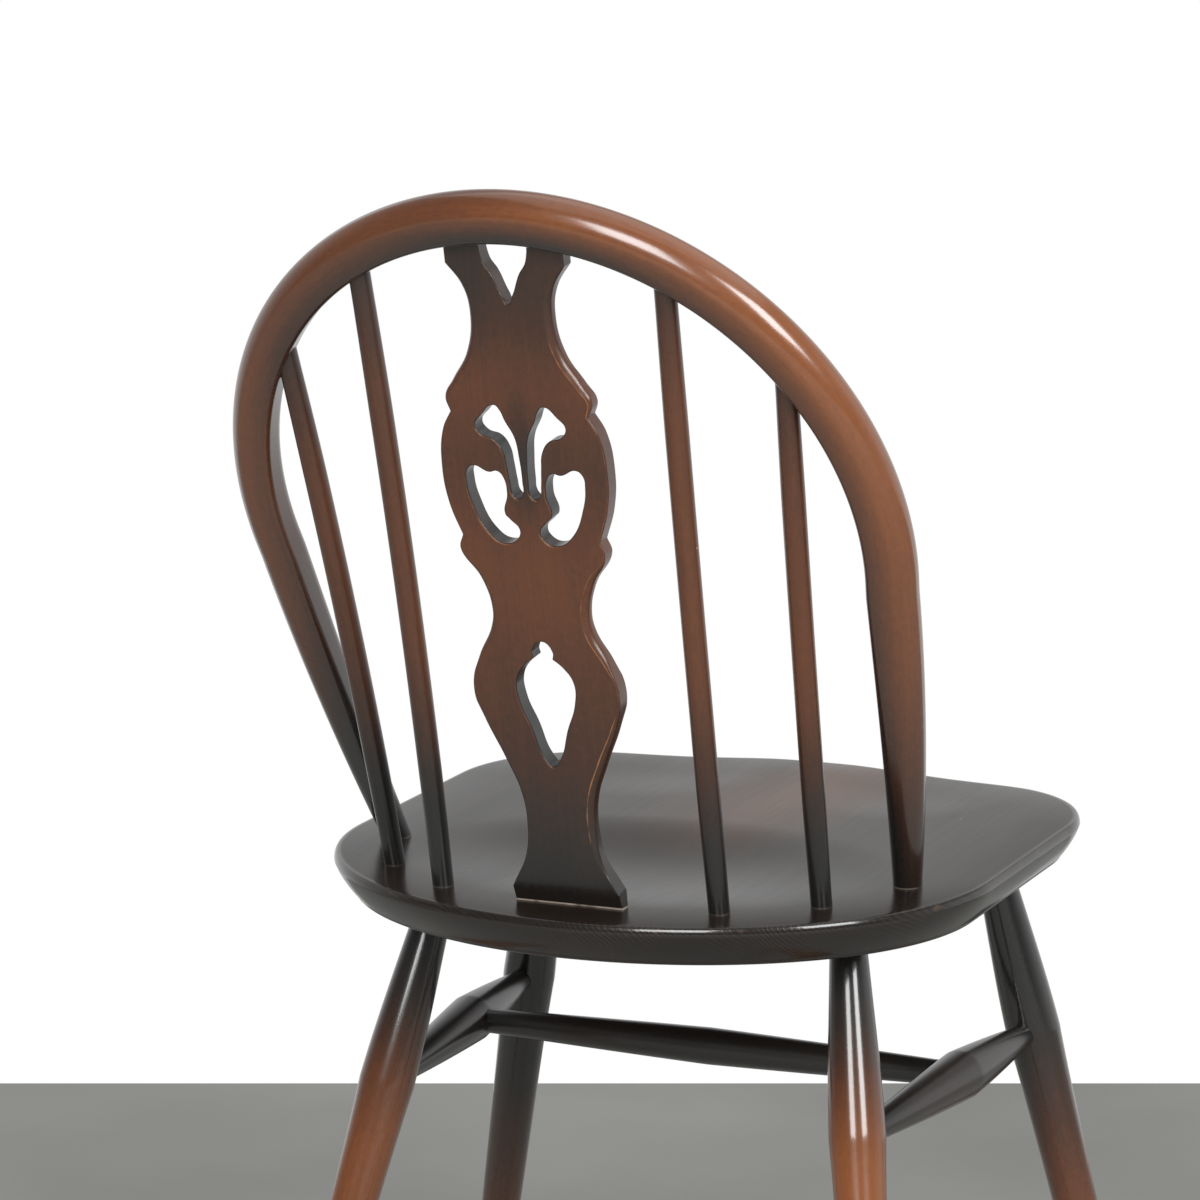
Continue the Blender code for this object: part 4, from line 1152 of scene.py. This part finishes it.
def leg_skin(side, rear):
    top, down, swell_at = leg_axis(side, rear)
    place = turned_frame(top, top - down)
    skin = Skin(place)
    length = top.z / -down.z
    lean = down.angle(SEAT_TO_FLOOR.to_3x3() @ -UP)
    neck = LEG_TOP_DIAMETER / 2 * math.tan(lean) + SHOULDER_RUN / 2
    drops = [-LEG_TENON_SHOWN, 0.0, neck]
    drops += [neck + (swell_at - neck) * i / LEG_NECK_STEPS for i in range(1, LEG_NECK_STEPS + 1)]
    shank = length - SHANK_STOP - swell_at
    drops += [swell_at + shank * i / LEG_SHANK_STEPS for i in range(1, LEG_SHANK_STEPS + 1)]
    seed = 0.31 * side + (0.7 if rear else 0.0)
    stained = LEG_STAIN_AND_SHADE[side, rear]
    rows = []
    for drop in drops:
        radius = leg_radius(drop, neck, swell_at, length)
        stain = leg_stain(drop, length, stained)
        places = [(radius * cos, radius * sin) for cos, sin in ROUND]
        rows.append([skin.add((x, y, -drop), (x + seed, y, drop), stain) for x, y in places])
    # The foot is cut level with the floor, its edge eased
    for height, ease in ((FOOT_EASE, 0.0), (0.0, FOOT_EASE)):
        ring = []
        for cos, sin in ROUND:
            low, high = length - FOOT_SEARCH, length + FOOT_SEARCH
            for i in range(40):
                drop = (low + high) / 2
                radius = leg_radius(drop, neck, swell_at, length) - ease
                x, y = radius * cos, radius * sin
                if (place @ Vector((x, y, -drop))).z > height:
                    low = drop
                else:
                    high = drop
            ring.append(skin.add((x, y, -drop), (x + seed, y, drop), leg_stain(drop, length, stained), 0.5))
        rows.append(ring)
    return skin.tube(rows)


def stretcher_skin(start, end, tenon, straight, middle, middle_at, seed, stain):
    skin = Skin(turned_frame(start, end))
    length = (end - start).length

    def radius_at(share):
        return tenon + (middle - tenon) * (share + STRETCHER_FULLNESS * share * (1 - share))

    shares = [i / STRETCHER_STEPS for i in range(STRETCHER_STEPS + 1)]
    far = length - straight
    stations = [(0.0, tenon)]
    stations += [(straight + (middle_at - straight) * share, radius_at(share)) for share in shares]
    stations += [(far - (far - middle_at) * share, radius_at(share)) for share in reversed(shares[:-1])]
    stations.append((length, tenon))
    rows = []
    for height, radius in stations:
        ends = math.exp(-min(height - 0.01, length - height - 0.01) / 0.03)
        dark = min(1.0, stain + 0.22 * min(1.0, ends))
        wear_and_glint = 0.12 * spot(height, middle_at, 0.012)
        places = [(radius * cos, radius * sin) for cos, sin in ROUND]
        rows.append([skin.add((x, y, height), (x + seed, y, height), dark, wear_and_glint) for x, y in places])
    return skin.tube(rows)


SIDES = ((1, "left"), (-1, "right"))
SPINDLE_ROWS = (
    ("outer", OUTER_SPINDLE_GAP, OUTER_SPINDLE_INSET, OUTER_SPINDLE_ANGLE),
    ("inner", INNER_SPINDLE_GAP, INNER_SPINDLE_INSET, INNER_SPINDLE_ANGLE),
)

make_piece("seat_board", "seat", seat_skin())
make_piece("bent_bow", "bow", bow_skin(), sharp=50.0)
splat = make_piece("thistle_splat", "splat", splat_skin(), sharp=28.0)
flatten = splat.modifiers.new("flat_faces", "WEIGHTED_NORMAL")
flatten.keep_sharp = True
flatten.weight = 90

for side, name in SIDES:
    x = BOW_FOOT_X
    for row, gap, inset, angle in SPINDLE_ROWS:
        x -= gap
        foot = Vector((side * x, rear_edge_at(x) - inset, 0))
        node = f"spindle_{row}_{name}"
        make_piece("round_" + node, node, spindle_skin(side, foot, angle))
    for rear, row in ((True, "rear"), (False, "front")):
        node = f"leg_{row}_{name}"
        make_piece("turned_" + node, node, leg_skin(side, rear))

side_straight = LEG_SWELL_DIAMETER / 2 - TENON_STOP + SHOULDER_RUN
cross_straight = STRETCHER_BULGE_DIAMETER / 2 - TENON_STOP + SHOULDER_RUN
cross_ends = []
for side, name in SIDES:
    rear = leg_joint(side, True)
    front = leg_joint(side, False)
    cross_ends.append(rear.lerp(front, STRETCHER_BULGE_SHARE))
    inset = (front - rear).normalized() * TENON_STOP
    bulge_at = STRETCHER_BULGE_SHARE * (front - rear).length - TENON_STOP
    shape = stretcher_skin(rear + inset, front - inset, STRETCHER_TENON_DIAMETER / 2, side_straight,
                           STRETCHER_BULGE_DIAMETER / 2, bulge_at, 0.9 * side, SIDE_STRETCHER_STAIN)
    make_piece("turned_stretcher_" + name, "stretcher_" + name, shape)
inset = (cross_ends[1] - cross_ends[0]).normalized() * TENON_STOP
start, end = cross_ends[0] + inset, cross_ends[1] - inset
shape = stretcher_skin(start, end, CROSS_TENON_DIAMETER / 2, cross_straight, CROSS_MIDDLE_DIAMETER / 2,
                       (end - start).length / 2, 0.2, CROSS_STRETCHER_STAIN_AND_SHADE)
make_piece("turned_stretcher_cross", "stretcher_cross", shape)


# Wedges of the bow's feet, kept from the frame with bare wood on them

def wedge_wood():
    material, graph, shader = new_material("wedge_wood")
    place = graph.add("TexCoord").outputs["Object"]
    fibre = graph.noise(graph.stretch(place, (900.0, 900.0, 60.0)), 1.0, 3.0, 0.6)
    tone = graph.ramp(fibre, [(0.25, (0.10, 0.05, 0.025)), (0.75, (0.24, 0.14, 0.075))])
    rough = graph.spread(fibre, 0.2, 0.8, 0.50, 0.68)
    bump = graph.add("Bump", {}, {"Strength": 0.3, "Distance": 0.0001, "Height": fibre})
    graph.feed(shader, {"Base Color": tone, "Roughness": rough, "Normal": bump.outputs[0]})
    return material


WEDGE_WOOD = wedge_wood()
for side, name in SIDES:
    wedge = bpy.data.objects["bow_wedge_" + name]
    wedge.data.materials.clear()
    wedge.data.materials.append(WEDGE_WOOD)


# Studio: a pale floor, white surroundings, soft lamps and the camera

CAMERA_PLACE = (-1.2081, 2.4396, 0.9865)
CAMERA_TURN = (math.radians(90 - 8.32), 0.0, math.radians(180 + 25.96))
CAMERA_LENS = 140.118
FLOOR_BEHIND = 1.046
FLOOR_AHEAD = 6.0
FLOOR_HALF = 4.0

camera_data = bpy.data.cameras.new("camera")
camera_data.lens = CAMERA_LENS
camera = put("camera", camera_data)
camera.location = ON_FLOOR @ Vector(CAMERA_PLACE)
camera.rotation_euler = CAMERA_TURN
bpy.context.scene.camera = camera

VIEW_AHEAD = Vector((-math.sin(CAMERA_TURN[2]), math.cos(CAMERA_TURN[2]), 0.0))
VIEW_RIGHT = Vector((math.cos(CAMERA_TURN[2]), math.sin(CAMERA_TURN[2]), 0.0))


def floor_material():
    material, graph, shader = new_material("floor_grey")
    place = graph.add("TexCoord").outputs["Object"]
    cloud = graph.noise(place, 3.0, 4.0)
    tone = graph.ramp(cloud, [(0.3, (0.35, 0.354, 0.335)), (0.7, (0.41, 0.414, 0.392))])
    graph.feed(shader, {"Base Color": tone, "Roughness": 0.8})
    return material


corners = []
for ahead, across in ((FLOOR_BEHIND, -1), (FLOOR_BEHIND, 1), (-FLOOR_AHEAD, 1), (-FLOOR_AHEAD, -1)):
    corners.append(VIEW_AHEAD * ahead + VIEW_RIGHT * across * FLOOR_HALF)
floor_mesh = bpy.data.meshes.new("floor")
floor_mesh.from_pydata(corners, [], [(0, 1, 2, 3)])
floor_mesh.materials.append(floor_material())
put("floor", floor_mesh)


def softbox(name, across, height, ahead, size, power, aim):
    # across to the right of the view, ahead along it, both from the chair
    data = bpy.data.lights.new(name, "AREA")
    data.shape = "RECTANGLE"
    data.size, data.size_y = size
    data.energy = power
    lamp = put(name, data)
    lamp.location = VIEW_RIGHT * across + VIEW_AHEAD * ahead + UP * height
    lamp.rotation_euler = (Vector(aim) - lamp.location).to_track_quat("-Z", "Y").to_euler()
    lamp.visible_camera = False


LAMP_AIM = (0, 0.1, 0.5)
softbox("softbox_left", -1.50, 2.66, -4.35, (1.7, 1.9), 92.0, LAMP_AIM)
softbox("softbox_right", 2.25, 2.90, -4.00, (1.7, 2.1), 112.0, LAMP_AIM)
softbox("overhead", 0.2, 2.8, 0.0, (3.2, 3.2), 16.0, (0, 0.0, 0.5))

world = bpy.data.worlds.new("white_room")
bpy.context.scene.world = world
world.use_nodes = True
sky = Graph(world.node_tree)
back = world.node_tree.nodes["Background"]
ray = sky.add("LightPath")
aim = sky.add("TexCoord").outputs["Generated"]
wall = (VIEW_AHEAD + 0.45 * VIEW_RIGHT).normalized()
toward = sky.add("VectorMath", {"operation": "DOT_PRODUCT"}, {0: aim, 1: tuple(wall)}).outputs["Value"]
height = sky.add("SeparateXYZ", {}, {0: aim}).outputs[2]
wall_side = sky.times(sky.spread(toward, -0.35, 0.45), sky.spread(height, 0.37, 0.60, 1.0, 0.3))
seen = sky.math("MAXIMUM", ray.outputs["Is Camera Ray"], ray.outputs["Is Transmission Ray"])
mirrored = sky.times(ray.outputs["Is Glossy Ray"], wall_side)
room = sky.mix(ray.outputs["Is Glossy Ray"], (0.36, 0.36, 0.36, 1.0), (0.14, 0.14, 0.14, 1.0))
room = sky.mix(mirrored, room, (0.66, 0.66, 0.66, 1.0))
sky.plug(back.inputs["Color"], sky.mix(seen, room, (1.0, 1.0, 1.0, 1.0)))

bpy.context.scene.view_settings.view_transform = "Standard"

bpy.context.view_layer.update()
